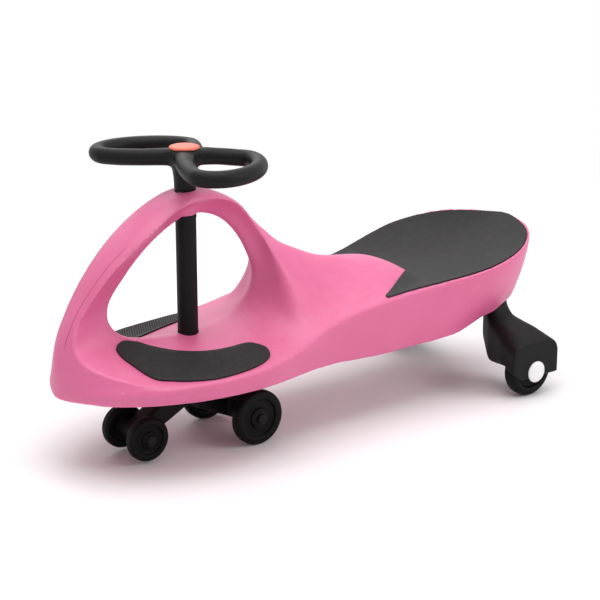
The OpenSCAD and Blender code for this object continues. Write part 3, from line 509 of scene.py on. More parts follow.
def newGroup(name, inputs, outputs):
    tree = bpy.data.node_groups.new(name, "ShaderNodeTree")
    for label, value in inputs:
        socket = tree.interface.new_socket(label, in_out="INPUT", socket_type="NodeSocketFloat")
        socket.default_value = value
    for label in outputs:
        tree.interface.new_socket(label, in_out="OUTPUT", socket_type="NodeSocketFloat")
    return tree, tree.nodes.new("NodeGroupInput").outputs, tree.nodes.new("NodeGroupOutput")


def plug(tree, node, links):
    for socket, value in links.items():
        if isinstance(value, bpy.types.NodeSocket):
            tree.links.new(value, node.inputs[socket])
        else:
            node.inputs[socket].default_value = value


def addNode(tree, kind, links=None, **values):
    node = tree.nodes.new(kind)
    for key, value in values.items():
        setattr(node, key, value)
    plug(tree, node, links or {})
    return node


def calc(tree, operation, a, b=0.0, limit=False):
    return addNode(tree, "ShaderNodeMath", {0: a, 1: b}, operation=operation, use_clamp=limit).outputs[0]


def times(tree, a, b, limit=False):
    return calc(tree, "MULTIPLY", a, b, limit)


def spread(tree, value, low, high, newLow=0.0, newHigh=1.0):
    links = {"Value": value, "From Min": low, "From Max": high, "To Min": newLow, "To Max": newHigh}
    return addNode(tree, "ShaderNodeMapRange", links, interpolation_type="SMOOTHSTEP").outputs["Result"]


def readField(tree, name):
    return addNode(tree, "ShaderNodeAttribute", attribute_name=name).outputs["Fac"]


def noiseAt(tree, scale, detail, roughness=0.55, stretch=None):
    place = addNode(tree, "ShaderNodeTexCoord").outputs["Object"]
    if stretch:
        place = addNode(tree, "ShaderNodeMapping", {"Vector": place, "Scale": stretch}).outputs[0]
    links = {"Vector": place, "Scale": scale, "Detail": detail, "Roughness": roughness}
    return addNode(tree, "ShaderNodeTexNoise", links).outputs[0]


def grainGroup():
    g = groupLook
    inputs = [("Grain Scale", 900), ("Ripple Scale", 45), ("Ripple Share", 0.3)]
    tree, given, made = newGroup("mouldedGrain", inputs, ["Height", "Tone"])
    fine = noiseAt(tree, given["Grain Scale"], g["fineDetail"])
    ripple = noiseAt(tree, given["Ripple Scale"], g["rippleDetail"], g["rippleRough"])
    mixed = addNode(tree, "ShaderNodeMix", {0: given["Ripple Share"], 2: fine, 3: ripple})
    broad = noiseAt(tree, g["toneScale"], g["toneDetail"])
    tone = times(tree, calc(tree, "ADD", fine, broad), 0.5)
    plug(tree, made, {"Height": mixed.outputs[0], "Tone": tone})
    return tree


def scuffGroup():
    g = groupLook
    tree, given, made = newGroup("lightScuffs", [("Scuff Scale", 60), ("Scuff Amount", 0.5)], ["Mask"])
    lines = noiseAt(tree, given["Scuff Scale"], g["scuffDetail"], g["scuffRough"], g["lineStretch"])
    crossed = noiseAt(tree, given["Scuff Scale"], g["scuffDetail"], g["scuffRough"], g["crossStretch"])
    lines, crossed = spread(tree, lines, *g["lineRange"]), spread(tree, crossed, *g["crossRange"])
    thin = calc(tree, "MAXIMUM", lines, crossed)
    patch = spread(tree, noiseAt(tree, g["patchScale"], g["patchDetail"]), *g["patchRange"])
    plug(tree, made, {"Mask": times(tree, times(tree, thin, patch), given["Scuff Amount"], True)})
    return tree


# Rub is rub wear together with a painted highlight on convex edges; Hollow is painted shade in hollows
def edgeGroup():
    g = groupLook
    inputs = [("Rub And Highlight Amount", 0.6), ("Hollow Shade Amount", 0.5)]
    tree, given, made = newGroup("rubHighlightAndHollowShade", inputs, ["Rub", "Hollow Shade"])
    field = readField(tree, "bulgeForRubAndShade")
    uneven = spread(tree, noiseAt(tree, g["unevenScale"], g["unevenDetail"]), *g["unevenRange"])
    # rub wear and painted highlight: points that stand out from their neighbours are lightened
    rub = times(tree, spread(tree, field, *g["rubAndHighlightRange"]), uneven)
    # painted shade: points that sink below their neighbours are darkened
    hollow = spread(tree, field, *g["hollowShadeRange"])
    plug(tree, made, {"Rub": times(tree, rub, given["Rub And Highlight Amount"], True),
                      "Hollow Shade": times(tree, hollow, given["Hollow Shade Amount"], True)})
    return tree


def dustGroup():
    g = groupLook
    tree, given, made = newGroup("settledDust", [("Dust Amount", 0.2), ("Dust Scale", 40)], ["Mask"])
    normal = addNode(tree, "ShaderNodeNewGeometry").outputs["Normal"]
    upper = spread(tree, addNode(tree, "ShaderNodeSeparateXYZ", {0: normal}).outputs["Z"], *g["upperRange"])
    noise = noiseAt(tree, given["Dust Scale"], g["speckDetail"], g["speckRough"])
    mask = times(tree, upper, spread(tree, noise, *g["speckRange"]))
    plug(tree, made, {"Mask": times(tree, mask, given["Dust Amount"], True)})
    return tree


groups = {"grain": grainGroup(), "scuff": scuffGroup(), "edge": edgeGroup(), "dust": dustGroup()}


# Values follow the order of the group's inputs
def useGroup(tree, key, values):
    return addNode(tree, "ShaderNodeGroup", dict(enumerate(values)), node_tree=groups[key]).outputs


def asColour(value):
    return value if isinstance(value, bpy.types.NodeSocket) else (*value, 1)


def blendColour(tree, mask, first, second):
    links = {0: mask, 6: asColour(first), 7: asColour(second)}
    return addNode(tree, "ShaderNodeMix", links, data_type="RGBA").outputs[2]


def bumpOf(tree, height, strength, depth):
    links = {"Strength": strength, "Distance": depth * mm, "Height": height}
    return addNode(tree, "ShaderNodeBump", links).outputs[0]


def newMaterial(name):
    material = bpy.data.materials.new(name)
    material.use_nodes = True
    return material, material.node_tree, material.node_tree.nodes["Principled BSDF"]


finishForm = {"toneRange": (0.35, 0.65), "roughRange": (0.3, 0.7), "scuffRough": 0.15, "dustRough": 0.25,
              "seamNear": 0.25, "seamFar": 0.95, "seamTint": 0.75, "seamGrain": 0.25, "seamDepth": 2.0}


# One moulded finish: colour drift, rubbed edges with a painted highlight, painted shade in hollows, scuffs,
# dust and grain
def mouldedFinish(name, look):
    f = finishForm
    material, tree, shader = newMaterial(name)
    grain, edge, scuff, dust = (useGroup(tree, key, look[key]) for key in ("grain", "edge", "scuff", "dust"))
    colour = blendColour(tree, spread(tree, grain["Tone"], *f["toneRange"]), look["deep"], look["colour"])
    # painted shade darkens hollows to the deep colour; rub wear with a painted highlight, and scuffs, lighten
    # to the pale colour; dust is a real mark
    for mask, tint in ((edge["Hollow Shade"], "deep"), (edge["Rub"], "pale"), (scuff["Mask"], "pale"),
                       (dust["Mask"], "dustColour")):
        colour = blendColour(tree, mask, colour, look[tint])
    rough = spread(tree, grain["Tone"], *f["roughRange"], *look["rough"])
    rough = calc(tree, "ADD", rough, times(tree, scuff["Mask"], f["scuffRough"]))
    rough = calc(tree, "ADD", rough, times(tree, dust["Mask"], f["dustRough"]), True)
    height = grain["Height"]
    if "seam" in look:
        away = calc(tree, "ABSOLUTE", readField(tree, "seamDistance"))
        near = spread(tree, away, f["seamNear"] * mm, f["seamFar"] * mm, 1.0, 0.0)
        groove = times(tree, near, readField(tree, "seamShown"))
        colour = blendColour(tree, times(tree, groove, f["seamTint"]), colour, look["seam"])
        height = times(tree, height, f["seamGrain"])
        height = calc(tree, "SUBTRACT", height, times(tree, groove, f["seamDepth"]))
    normal = bumpOf(tree, height, *look["bump"])
    plug(tree, shader, {"Base Color": colour, "Roughness": rough, "Normal": normal, "IOR": look["ior"],
                        "Specular IOR Level": look["specular"]})
    return material


# Grain: scale, ripple scale, ripple share. Edge: rub wear with painted edge highlight, painted hollow shade.
# Scuff: scale, amount. Dust: amount, scale.
# Rough: low, high. Bump: strength, depth in millimetres.
# deep serves both the random tone drift and the painted shade in hollows; pale serves scuffs, rub wear and
# the painted edge highlight
finishLooks = {
    "pinkPlastic": {"colour": (0.725, 0.142, 0.322), "deep": (0.66, 0.110, 0.266),
                    "pale": (0.84, 0.30, 0.46), "dustColour": (0.80, 0.42, 0.52),
                    "grain": (1100, 38, 0.25), "edge": (0.45, 0.6), "scuff": (70, 0.22),
                    "dust": (0.10, 60), "rough": (0.40, 0.52), "bump": (0.16, 0.25), "ior": 1.47,
                    "specular": 0.7, "seam": (0.30, 0.035, 0.10)},
    "seatRubber": {"colour": (0.032, 0.0305, 0.031), "deep": (0.022, 0.021, 0.022),
                   "pale": (0.06, 0.058, 0.059), "dustColour": (0.08, 0.077, 0.078),
                   "grain": (520, 160, 0.35), "edge": (0.4, 0.5), "scuff": (90, 0.25), "dust": (0.28, 90),
                   "rough": (0.62, 0.78), "bump": (0.35, 0.35), "ior": 1.5, "specular": 0.30},
    "footRubber": {"colour": (0.0095, 0.0070, 0.0074), "deep": (0.0055, 0.0045, 0.0047),
                   "pale": (0.024, 0.021, 0.0215), "dustColour": (0.06, 0.055, 0.055),
                   "grain": (700, 120, 0.3), "edge": (0.6, 0.6), "scuff": (90, 0.2), "dust": (0.22, 110),
                   "rough": (0.55, 0.72), "bump": (0.3, 0.3), "ior": 1.5, "specular": 0.30},
    "gripPlastic": {"colour": (0.0070, 0.0070, 0.0074), "deep": (0.0045, 0.0045, 0.0048),
                    "pale": (0.018, 0.0175, 0.018), "dustColour": (0.045, 0.043, 0.043),
                    "grain": (850, 60, 0.3), "edge": (0.25, 0.5), "scuff": (80, 0.25), "dust": (0.10, 70),
                    "rough": (0.42, 0.56), "bump": (0.28, 0.3), "ior": 1.5, "specular": 0.17},
    "blackPlastic": {"colour": (0.0062, 0.0058, 0.0060), "deep": (0.0038, 0.0036, 0.0038),
                     "pale": (0.016, 0.0152, 0.0156), "dustColour": (0.05, 0.046, 0.046),
                     "grain": (800, 55, 0.35), "edge": (0.35, 0.5), "scuff": (90, 0.3),
                     "dust": (0.12, 80), "rough": (0.44, 0.60), "bump": (0.28, 0.3), "ior": 1.5,
                     "specular": 0.16},
    "wheelPlastic": {"colour": (0.0040, 0.0038, 0.0039), "deep": (0.0024, 0.0023, 0.0024),
                     "pale": (0.014, 0.0132, 0.0134), "dustColour": (0.05, 0.046, 0.044),
                     "grain": (650, 70, 0.4), "edge": (0.45, 0.6), "scuff": (120, 0.45),
                     "dust": (0.12, 100), "rough": (0.46, 0.64), "bump": (0.32, 0.35), "ior": 1.5,
                     "specular": 0.12},
    "coralPlastic": {"colour": (0.82, 0.155, 0.10), "deep": (0.72, 0.12, 0.08),
                     "pale": (0.88, 0.32, 0.22), "dustColour": (0.84, 0.40, 0.32),
                     "grain": (1100, 80, 0.3), "edge": (0.4, 0.4), "scuff": (120, 0.2),
                     "dust": (0.08, 90), "rough": (0.36, 0.48), "bump": (0.15, 0.2), "ior": 1.47,
                     "specular": 0.45},
    "whitePlastic": {"colour": (0.86, 0.85, 0.86), "deep": (0.78, 0.77, 0.78), "pale": (0.90, 0.90, 0.90),
                     "dustColour": (0.66, 0.63, 0.62), "grain": (1000, 80, 0.3), "edge": (0.2, 0.6),
                     "scuff": (120, 0.2), "dust": (0.12, 90), "rough": (0.38, 0.5), "bump": (0.15, 0.2),
                     "ior": 1.47, "specular": 0.45},
    "naturalNylon": {"colour": (0.70, 0.67, 0.58), "deep": (0.58, 0.55, 0.46), "pale": (0.78, 0.76, 0.70),
                     "dustColour": (0.45, 0.42, 0.38), "grain": (900, 90, 0.3), "edge": (0.2, 0.5),
                     "scuff": (140, 0.3), "dust": (0.1, 90), "rough": (0.40, 0.55), "bump": (0.2, 0.2),
                     "ior": 1.53, "specular": 0.45},
}
finishes = {name: mouldedFinish(name, look) for name, look in finishLooks.items()}

steelLook = {"bright": (0.62, 0.63, 0.65), "dull": (0.42, 0.43, 0.45), "scuffColour": (0.30, 0.29, 0.28),
             "rough": (0.24, 0.42), "grain": (400, 120, 0.4), "scuff": (160, 0.6), "bump": (0.12, 0.1)}


def platedSteel():
    s = steelLook
    material, tree, shader = newMaterial("platedSteel")
    grain, scuff = (useGroup(tree, key, s[key]) for key in ("grain", "scuff"))
    colour = blendColour(tree, grain["Tone"], s["dull"], s["bright"])
    colour = blendColour(tree, scuff["Mask"], colour, s["scuffColour"])
    rough = spread(tree, grain["Tone"], *finishForm["roughRange"], *s["rough"])
    plug(tree, shader, {"Base Color": colour, "Metallic": 1, "Roughness": rough,
                        "Normal": bumpOf(tree, grain["Height"], *s["bump"])})
    return material


finishes["platedSteel"] = platedSteel()
print("finishes:", len(finishes))


# The moulded body: a lofted form, both footwells scooped out, then hollowed from below

bodyLook = {
    "wall": 4.0, "voxel": 2.2, "settle": 5, "hollowVoxel": 3, "hollowRounds": 76, "hollowSkip": 3,
    "hollowTops": 16, "hollowSkirts": 6, "noseSpan": 70, "tailSpan": 75, "endGap": 0.6, "endSteps": 24,
    "mids": 150, "tops": 44, "skirts": 16, "crowd": 1.3, "flank": 1.6, "scoopRound": 208,
    "scoopSteps": 16, "scoopSpread": 1.3, "spreadFrom": 0.75, "scoopGap": 0.25, "bossDiameter": 32,
    "bossZ": 312, "bossSunk": 20, "softRounds": 140, "rimRounds": 14, "limbRounds": 12, "rimRound": 4.5,
    "rimShare": 0.45, "rimSteps": 6, "rimIn": 2.5, "rimDrop": 10, "mostFaces": 185000, "ribThick": 3,
    "ribRise": 12, "ribFoot": 0.8, "ribPlaces": [0.05, 0.3, 0.55, 0.8], "ribFrontBack": 262,
    "gussets": [45, 90, 135, 225, 270, 315], "gussetReach": 62, "gussetRise": 34, "deckBossZ": 106,
    "deckBossDiameter": 42, "columnBore": 28.6, "columnBoreZ": 60, "columnBoreOver": 10, "postBack": 495,
    "postSide": 61, "postBore": 34.6, "postBoreZ": 20, "socketDiameter": 41.8, "socketZ": 134,
    "postTopZ": 166.3,
}


# Stations along the car stand closer together at the nose and the tail
def bodyStations(inset):
    b, c = bodyLook, carForm
    nose = c["noseReach"] - inset - b["endGap"]
    back = b["tailSpan"] - c["tailReach"]
    front = np.linspace(0, 1, b["endSteps"], endpoint=False)
    tail = np.linspace(0, 1, b["endSteps"] + 1)[1:]
    return np.concatenate([nose - b["noseSpan"] * (1 - np.cos(quarterTurn * front)),
                           np.linspace(nose - b["noseSpan"], back, b["mids"] + 1),
                           back - (b["tailSpan"] - inset - b["endGap"]) * np.sin(quarterTurn * tail)])


# The corner of each ring gives way to a small curve, so that the rim is round and even
def roundRim(ring, corner):
    b = bodyLook
    edge = ring[:, corner:corner + 1]
    ends = []
    for beside in (ring[:, corner - 1:corner], ring[:, corner + 1:corner + 2]):
        way = beside - edge
        length = np.linalg.norm(way, axis=-1, keepdims=True) + tiny
        ends.append(edge + way * np.minimum(b["rimRound"] / length, b["rimShare"]))
    k = np.linspace(0, 1, b["rimSteps"] + 1)[None, :, None]
    bend = ends[0] * (1 - k) ** 2 + edge * 2 * k * (1 - k) + ends[1] * k ** 2
    return np.concatenate([ring[:, :corner], bend, ring[:, corner + 1:]], 1)


# Rings across the car, or with a wall the rings of the hollow inside it
def bodyRings(x, tops, skirts, wall=0):
    b = bodyLook
    s = np.linspace(0, 1, tops + 1) ** b["crowd"]
    q = np.linspace(0, 1, skirts + 1)[1:]
    col = x[:, None]
    y = np.concatenate([s * planHalf(col), mix(planHalf(col), edgeHalf(col), q ** b["flank"])], 1)
    z = np.concatenate([topZ(col, s), mix(rimZ(col), edgeZ(col), q)], 1)
    if wall:
        dy, dz = np.gradient(y, axis=1), np.gradient(z, axis=1)
        size = np.hypot(dy, dz) + tiny
        inY, inZ = dz / size, -dy / size
        inY[:, 0], inZ[:, 0] = 0, -1
        lift = np.arange(y.shape[1]) / y.shape[1]
        y = np.maximum(y + inY * wall, lift)
        z = z + inZ * wall
        y[:, tops] -= b["rimIn"]
        z[:, tops] -= b["rimDrop"]
        z[:, -1] -= carForm["skirtZ"] / 2
    half = np.stack([np.broadcast_to(col, y.shape), y, z], -1)
    if not wall:
        half = roundRim(half, tops)
    return np.concatenate([mirrored(half[:, :0:-1]), half], 1)


def scoopCutter(name, grow=0):
    b, c = bodyLook, carForm
    n = b["scoopRound"]
    t = np.arange(n) / n
    side = [scoopPoint(t, np.full_like(t, f)) for f in np.linspace(0, 1, b["scoopSteps"] + 1)]
    side.append(mix(scoopPoint(t, np.full_like(t, b["spreadFrom"])), side[-1], 1 + b["scoopSpread"]))
    side = np.array(side)
    if grow:
        side = side + outward(t) * grow
        side[..., 1] -= np.minimum(grow, side[..., 1] - b["scoopGap"])
    piece = loft(name, np.concatenate([side[::-1], mirrored(side)]))
    work = bmesh.new()  # the wide ends close in a fan, since their outline isn't flat
    work.from_mesh(piece.data)
    work.faces.ensure_lookup_table()
    bmesh.ops.poke(work, faces=[f for f in work.faces if len(f.verts) == n])
    middle = toFrame([(c["openingFront"] - c["openingRear"]) / 2, 0, (c["deckZ"] + c["openingTopZ"]) / 2])[0]
    for v in work.verts:
        if len(v.link_edges) == n:
            v.co = (middle[0], math.copysign(c["deckWidth"] * mm, v.co.y), middle[2])
    work.to_mesh(piece.data)
    work.free()
    return piece


def bodyInside():
    b, c = bodyLook, carForm
    half, bossZ = b["ribThick"] / 2, b["deckBossZ"]
    made = []
    for share in b["ribPlaces"]:
        x = np.array(mix(-float(b["ribFrontBack"]), -float(c["tailReach"]), share))
        foot, wide, low = b["ribFoot"] * edgeHalf(x), planHalf(x), edgeZ(x) + b["ribRise"]
        made.append(convexPiece("rib", boxPoints((x - half, -foot, low), (x + half, foot, low + 1)),
                                boxPoints((x - half, -wide, rimZ(x)), (x + half, wide, rimZ(x) + 1))))
    inner = boxPoints((0, -half, bossZ + 1), (b["deckBossDiameter"] / 2, half, c["deckZ"]))
    outer = boxPoints((0, -half, bossZ + b["gussetRise"]), (b["gussetReach"], half, c["deckZ"]))
    for angle in b["gussets"]:
        made.append(convexPiece("gusset", turnedPoints(inner, angle), turnedPoints(outer, angle)))
    made.append(rod("deckBoss", b["deckBossDiameter"], bossZ, c["deckZ"]))
    for side in (1, -1):
        place = (-b["postBack"], side * b["postSide"], 0)
        made.append(rod("socket", b["socketDiameter"], b["socketZ"], c["tailRimZ"], place))
    return made


# Where the skin is smoothed more: each pair is a start and the span over which it sets in
blendLook = {"rearInside": (4, 16), "rearFront": (-88, 45), "rearBack": (-250, 50), "rearLow": (112, 26),
             "rearHigh": (262, 50), "rim": (9, 5), "limbFront": (20, 30), "limbLow": (200, 25)}


# The long blend from the rear limb out to the rim is softer than the other ridges
def rearBlend(p):
    x, y, z = p.T
    k = blendLook
    inside = planHalf(x) - np.abs(y)
    return (rising(inside, *k["rearInside"]) * falling(x, *k["rearFront"]) * rising(x, *k["rearBack"])
            * rising(z, *k["rearLow"]) * falling(z, *k["rearHigh"]))


# The rim all round is evened out, so that it runs in one clean line
def rimBlend(p):
    x, y, z = p.T
    aside = np.abs(np.abs(y) - planHalf(x))
    return falling(aside, *blendLook["rim"]) * falling(np.abs(z - rimZ(x)), *blendLook["rim"])


# So are the edges of the rear limb
def limbBlend(p):
    return falling(p[:, 0], *blendLook["limbFront"]) * rising(p[:, 2], *blendLook["limbLow"])


def makeBody():
    b, c = bodyLook, carForm
    body = loft("bodyShell", bodyRings(bodyStations(0), b["tops"], b["skirts"]))
    combine(body, [scoopCutter("scoop")], "DIFFERENCE")
    combine(body, [rod("archBoss", b["bossDiameter"], b["bossZ"], c["archZ"] - b["bossSunk"])], "UNION")
    skinOver(body, b["voxel"], b["settle"])
    relax(body, b["softRounds"], rearBlend)
    relax(body, b["rimRounds"], rimBlend)
    relax(body, b["limbRounds"], limbBlend)
    stations = bodyStations(2 * b["wall"])[::b["hollowSkip"]]
    hollow = loft("hollow", bodyRings(stations, b["hollowTops"], b["hollowSkirts"], b["wall"]))
    combine(hollow, [scoopCutter("scoopWall", b["wall"])], "DIFFERENCE")
    skinOver(hollow, b["hollowVoxel"], b["hollowRounds"], rearBlend)
    combine(hollow, bodyInside(), "DIFFERENCE")
    cuts = [hollow, rod("columnBore", b["columnBore"], b["columnBoreZ"], c["archZ"] + b["columnBoreOver"])]
    for side in (1, -1):
        place = (-b["postBack"], side * b["postSide"], 0)
        cuts.append(rod("postBore", b["postBore"], b["postBoreZ"], b["postTopZ"], place))
    combine(body, cuts, "DIFFERENCE")
    thinMesh(body, b["mostFaces"])
    return finishSkin(body)


# Fine mould line down each side of the front spine, on the outer face only
spineLine = {"heights": [170, 180, 195, 210, 225, 240, 255, 270, 285, 300],
             "sides": [11.4, 11.3, 11.1, 11, 12, 13.7, 15.7, 17.3, 20.4, 23], "top": 296, "low": 168,
             "fade": 14,
             "facing": 0.2, "facingFade": 0.2, "front": 60}


def storeSeam(body):
    s, fade = spineLine, spineLine["fade"]
    x, y, z = fromFrame(meshPoints(body)).T
    facing = rising(meshNormals(body)[:, 0], s["facing"], s["facingFade"])
    shown = facing * falling(z, s["top"], fade) * rising(z, s["low"], fade) * rising(x, s["front"], fade)
    storeField(body, "seamDistance", (np.abs(y) - np.interp(z, s["heights"], s["sides"])) * mm)
    storeField(body, "seamShown", shown)


body = makeBody()
storeSeam(body)
wear(body, "pinkPlastic")
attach(body, "body")
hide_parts("body_shell")
print("body:", len(body.data.polygons), "faces")


# Rubber mats on the seat and in both footwells

def sheetPiece(name, low, high):
    n, m = low.shape[:2]
    k = n * m
    grid = np.arange(k).reshape(n, m)
    a, b, c, d = (g.ravel() for g in (grid[:-1, :-1], grid[:-1, 1:], grid[1:, 1:], grid[1:, :-1]))
    faces = np.stack([a, d, c, b], 1).tolist() + (np.stack([a, b, c, d], 1) + k).tolist()
    rim = np.concatenate([grid[0, :-1], grid[:-1, -1], grid[-1, :0:-1], grid[:0:-1, 0]])
    faces += [[p, q, q + k, p + k] for p, q in zip(rim, np.roll(rim, -1))]
    return makePiece(name, np.concatenate([low.reshape(-1, 3), high.reshape(-1, 3)]), faces)


bodyTree = BVHTree.FromObject(body, bpy.context.evaluated_depsgraph_get())


# Points of a mat are pressed onto the finished skin of the body
def pressOn(points, up, reach):
    flat, ways = points.reshape(-1, 3).copy(), np.broadcast_to(up, points.shape).reshape(-1, 3)
    for k, (p, way) in enumerate(zip(flat, ways)):
        hit = bodyTree.ray_cast(Vector(toFrame(p + way * reach)[0]), Vector(-way), 2 * reach * mm)[0]
        if hit:
            flat[k] = fromFrame(hit)
    return flat.reshape(points.shape)


seatLook = {"margin": 5, "cornerBack": 259, "tongue": 100, "tongueRound": 1.4, "tongueWide": 0.94,
            "endShare": 0.999, "rows": 110, "columns": 96, "lift": 0.3, "thick": 2.4, "edge": 1.1,
            "reach": 30}


def seatPoint(a, b):
    s, bow = seatLook, seatLook["tongueRound"]
    side = np.minimum(np.abs(b) / s["tongueWide"], 1)
    rise = (np.hypot(side, bow) - bow) / (math.hypot(1, bow) - bow)
    front = -s["cornerBack"] - s["tongue"] * (1 - rise)
    x = mix(front, (s["margin"] - carForm["tailReach"]) * s["endShare"], np.sin(quarterTurn * a))
    y = b * planHalf(x, s["margin"])
    return np.stack([x, y, topZ(x, np.abs(y) / planHalf(x))], -1)


def makeSeatMat():
    s = seatLook
    a, b = np.meshgrid(np.linspace(0, 1, s["rows"] + 1), np.linspace(-1, 1, s["columns"] + 1), indexing="ij")
    base = pressOn(seatPoint(a, b), (0, 0, 1), s["reach"])
    mat = sheetPiece("seatMat", base + (0, 0, s["lift"]), base + (0, 0, s["lift"] + s["thick"]))
    return finishSkin(softEdge(mat, s["edge"]))


seatMat = makeSeatMat()
wear(seatMat, "seatRubber")
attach(seatMat, "body")
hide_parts("seat_mat")
print("seat mat:", len(seatMat.data.polygons), "faces")

footLook = {"from": 0.074, "to": 0.284, "tip": 0.4, "tipShare": 4, "rows": 90, "columns": 30,
            "slopeStep": 0.01, "lift": 0.2, "thick": 2.2, "edge": 0.9, "reach": 12, "settle": 1,
            "dotPitch": 3.6, "dotRadius": 1.1, "dotHeight": 0.65, "dotMargin": 0.09, "dotSegments": 10,
            "dotRings": 6, "fieldSize": 260, "dropZ": 0.4,
            "middle": [[0, 0.68], [0.09, 0.67], [0.16, 0.685], [0.25, 0.695], [0.38, 0.675], [0.48, 0.625],
                       [0.57, 0.535], [0.64, 0.455], [0.7, 0.425], [0.77, 0.305], [0.84, 0.255],
                       [0.91, 0.235], [1, 0.235]],
            "half": [[0, 0], [0.09, 0.11], [0.16, 0.17], [0.25, 0.21], [0.38, 0.26], [0.48, 0.32],
                     [0.57, 0.375], [0.64, 0.395], [0.7, 0.375], [0.77, 0.25], [0.84, 0.165], [0.91, 0.09],
                     [1, 0]]}


# A point of a foot mat on the scoop: u runs along the mat, v across it
def footPoint(u, v):
    f = footLook
    across = curve(f["middle"], u) + curve(f["half"], u) * (2 * v - 1)
    return scoopPoint(mix(f["from"], f["to"], (1 - np.cos(2 * quarterTurn * u)) / 2), across)


def footNormal(u, v):
    step = footLook["slopeStep"]
    ahead = np.where(u < 0.5, step, -step)
    c = np.cross(footPoint(u + ahead, v) - footPoint(u, v), footPoint(u, v + step) - footPoint(u, v))
    return c / np.linalg.norm(c, axis=-1, keepdims=True) * np.where(c[..., 2:] < 0, -1, 1)


# Points pressed onto the body for a mat, less a margin, and the way up from each
def footGrid(inset=0.0):
    f = footLook
    u = (np.arange(f["rows"] + 1) + f["tip"]) / (f["rows"] + 2 * f["tip"])
    u = mix(inset / f["tipShare"], 1 - inset / f["tipShare"], u)
    u, v = np.meshgrid(u, np.linspace(inset, 1 - inset, f["columns"] + 1), indexing="ij")
    up = footNormal(u, v)
    return pressOn(footPoint(u, v), up, f["reach"]), up


# Geometry Nodes: a staggered grid of dots dropped onto a mat and turned to its surface
def dotTree():
    tree = bpy.data.node_groups.new("raisedDots", "GeometryNodeTree")
    inputs = {"Geometry": "Geometry", "Mat": "Object", "Centre": "Vector", "Reach": "Float", "Pitch": "Float",
              "Dot Radius": "Float", "Dot Height": "Float", "Finish": "Material"}
    for label, kind in inputs.items():
        tree.interface.new_socket(label, in_out="INPUT", socket_type="NodeSocket" + kind)
    tree.interface.new_socket("Geometry", in_out="OUTPUT", socket_type="NodeSocketGeometry")
    given, made = tree.nodes.new("NodeGroupInput").outputs, tree.nodes.new("NodeGroupOutput")
    pitch = given["Pitch"]
    rowPitch = times(tree, pitch, math.sin(math.pi / 3))
    columns, rows = (calc(tree, "FLOOR", calc(tree, "DIVIDE", given["Reach"], p)) for p in (pitch, rowPitch))
    grid = addNode(tree, "GeometryNodeMeshGrid", {
        "Size X": times(tree, pitch, columns), "Size Y": times(tree, rowPitch, rows),
        "Vertices X": calc(tree, "ADD", columns, 1.0), "Vertices Y": calc(tree, "ADD", rows, 1.0)})
    where = addNode(tree, "ShaderNodeSeparateXYZ", {0: addNode(tree, "GeometryNodeInputPosition").outputs[0]})
    row = calc(tree, "FLOOR", calc(tree, "ADD", calc(tree, "DIVIDE", where.outputs["Y"], rowPitch), 0.25))
    shift = times(tree, calc(tree, "FLOORED_MODULO", row, 2.0), times(tree, pitch, 0.5))
    aside = addNode(tree, "ShaderNodeCombineXYZ", {"X": shift}).outputs[0]
    offset = addNode(tree, "ShaderNodeVectorMath", {0: aside, 1: given["Centre"]}, operation="ADD")
    laid = addNode(tree, "GeometryNodeSetPosition", {
        "Geometry": grid.outputs["Mesh"], "Offset": offset.outputs[0]})
    target = addNode(tree, "GeometryNodeObjectInfo", {"Object": given["Mat"]})
    ray = addNode(tree, "GeometryNodeRaycast", {"Target Geometry": target.outputs["Geometry"],
                                                "Ray Direction": (0, 0, -1), "Ray Length": 1.0}).outputs
    caught = tree.nodes.new("GeometryNodeCaptureAttribute")
    for kind, label in (("VECTOR", "Facing"), ("VECTOR", "Landing"), ("BOOLEAN", "Landed")):
        caught.capture_items.new(kind, label)
    plug(tree, caught, {0: laid.outputs[0], 1: ray["Hit Normal"], 2: ray["Hit Position"], 3: ray["Is Hit"]})
    points, facing, landing, landed = (caught.outputs[k] for k in range(4))
    missed = addNode(tree, "FunctionNodeBooleanMath", {0: landed}, operation="NOT")
    kept = addNode(tree, "GeometryNodeDeleteGeometry", {"Geometry": points, "Selection": missed.outputs[0]})
    down = addNode(tree, "GeometryNodeSetPosition", {"Geometry": kept.outputs[0], "Position": landing})
    dot = addNode(tree, "GeometryNodeMeshUVSphere", {
        "Segments": footLook["dotSegments"], "Rings": footLook["dotRings"], "Radius": given["Dot Radius"]})
    low = calc(tree, "DIVIDE", given["Dot Height"], given["Dot Radius"])
    scale = addNode(tree, "ShaderNodeCombineXYZ", {"X": 1.0, "Y": 1.0, "Z": low}).outputs[0]
    flat = addNode(tree, "GeometryNodeTransform", {"Geometry": dot.outputs["Mesh"], "Scale": scale})
    turned = addNode(tree, "FunctionNodeAlignRotationToVector", {"Vector": facing}, axis="Z")
    dots = addNode(tree, "GeometryNodeInstanceOnPoints", {
        "Points": down.outputs[0], "Instance": flat.outputs[0], "Rotation": turned.outputs[0]})
    real = addNode(tree, "GeometryNodeRealizeInstances", {0: dots.outputs[0]})
    done = addNode(tree, "GeometryNodeSetMaterial", {
        "Geometry": real.outputs[0], "Material": given["Finish"]})
    plug(tree, made, {0: done.outputs[0]})
    return tree


def treeInput(tree, label):
    return next(i.identifier for i in tree.interface.items_tree if i.name == label and i.in_out == "INPUT")


raisedDots = dotTree()


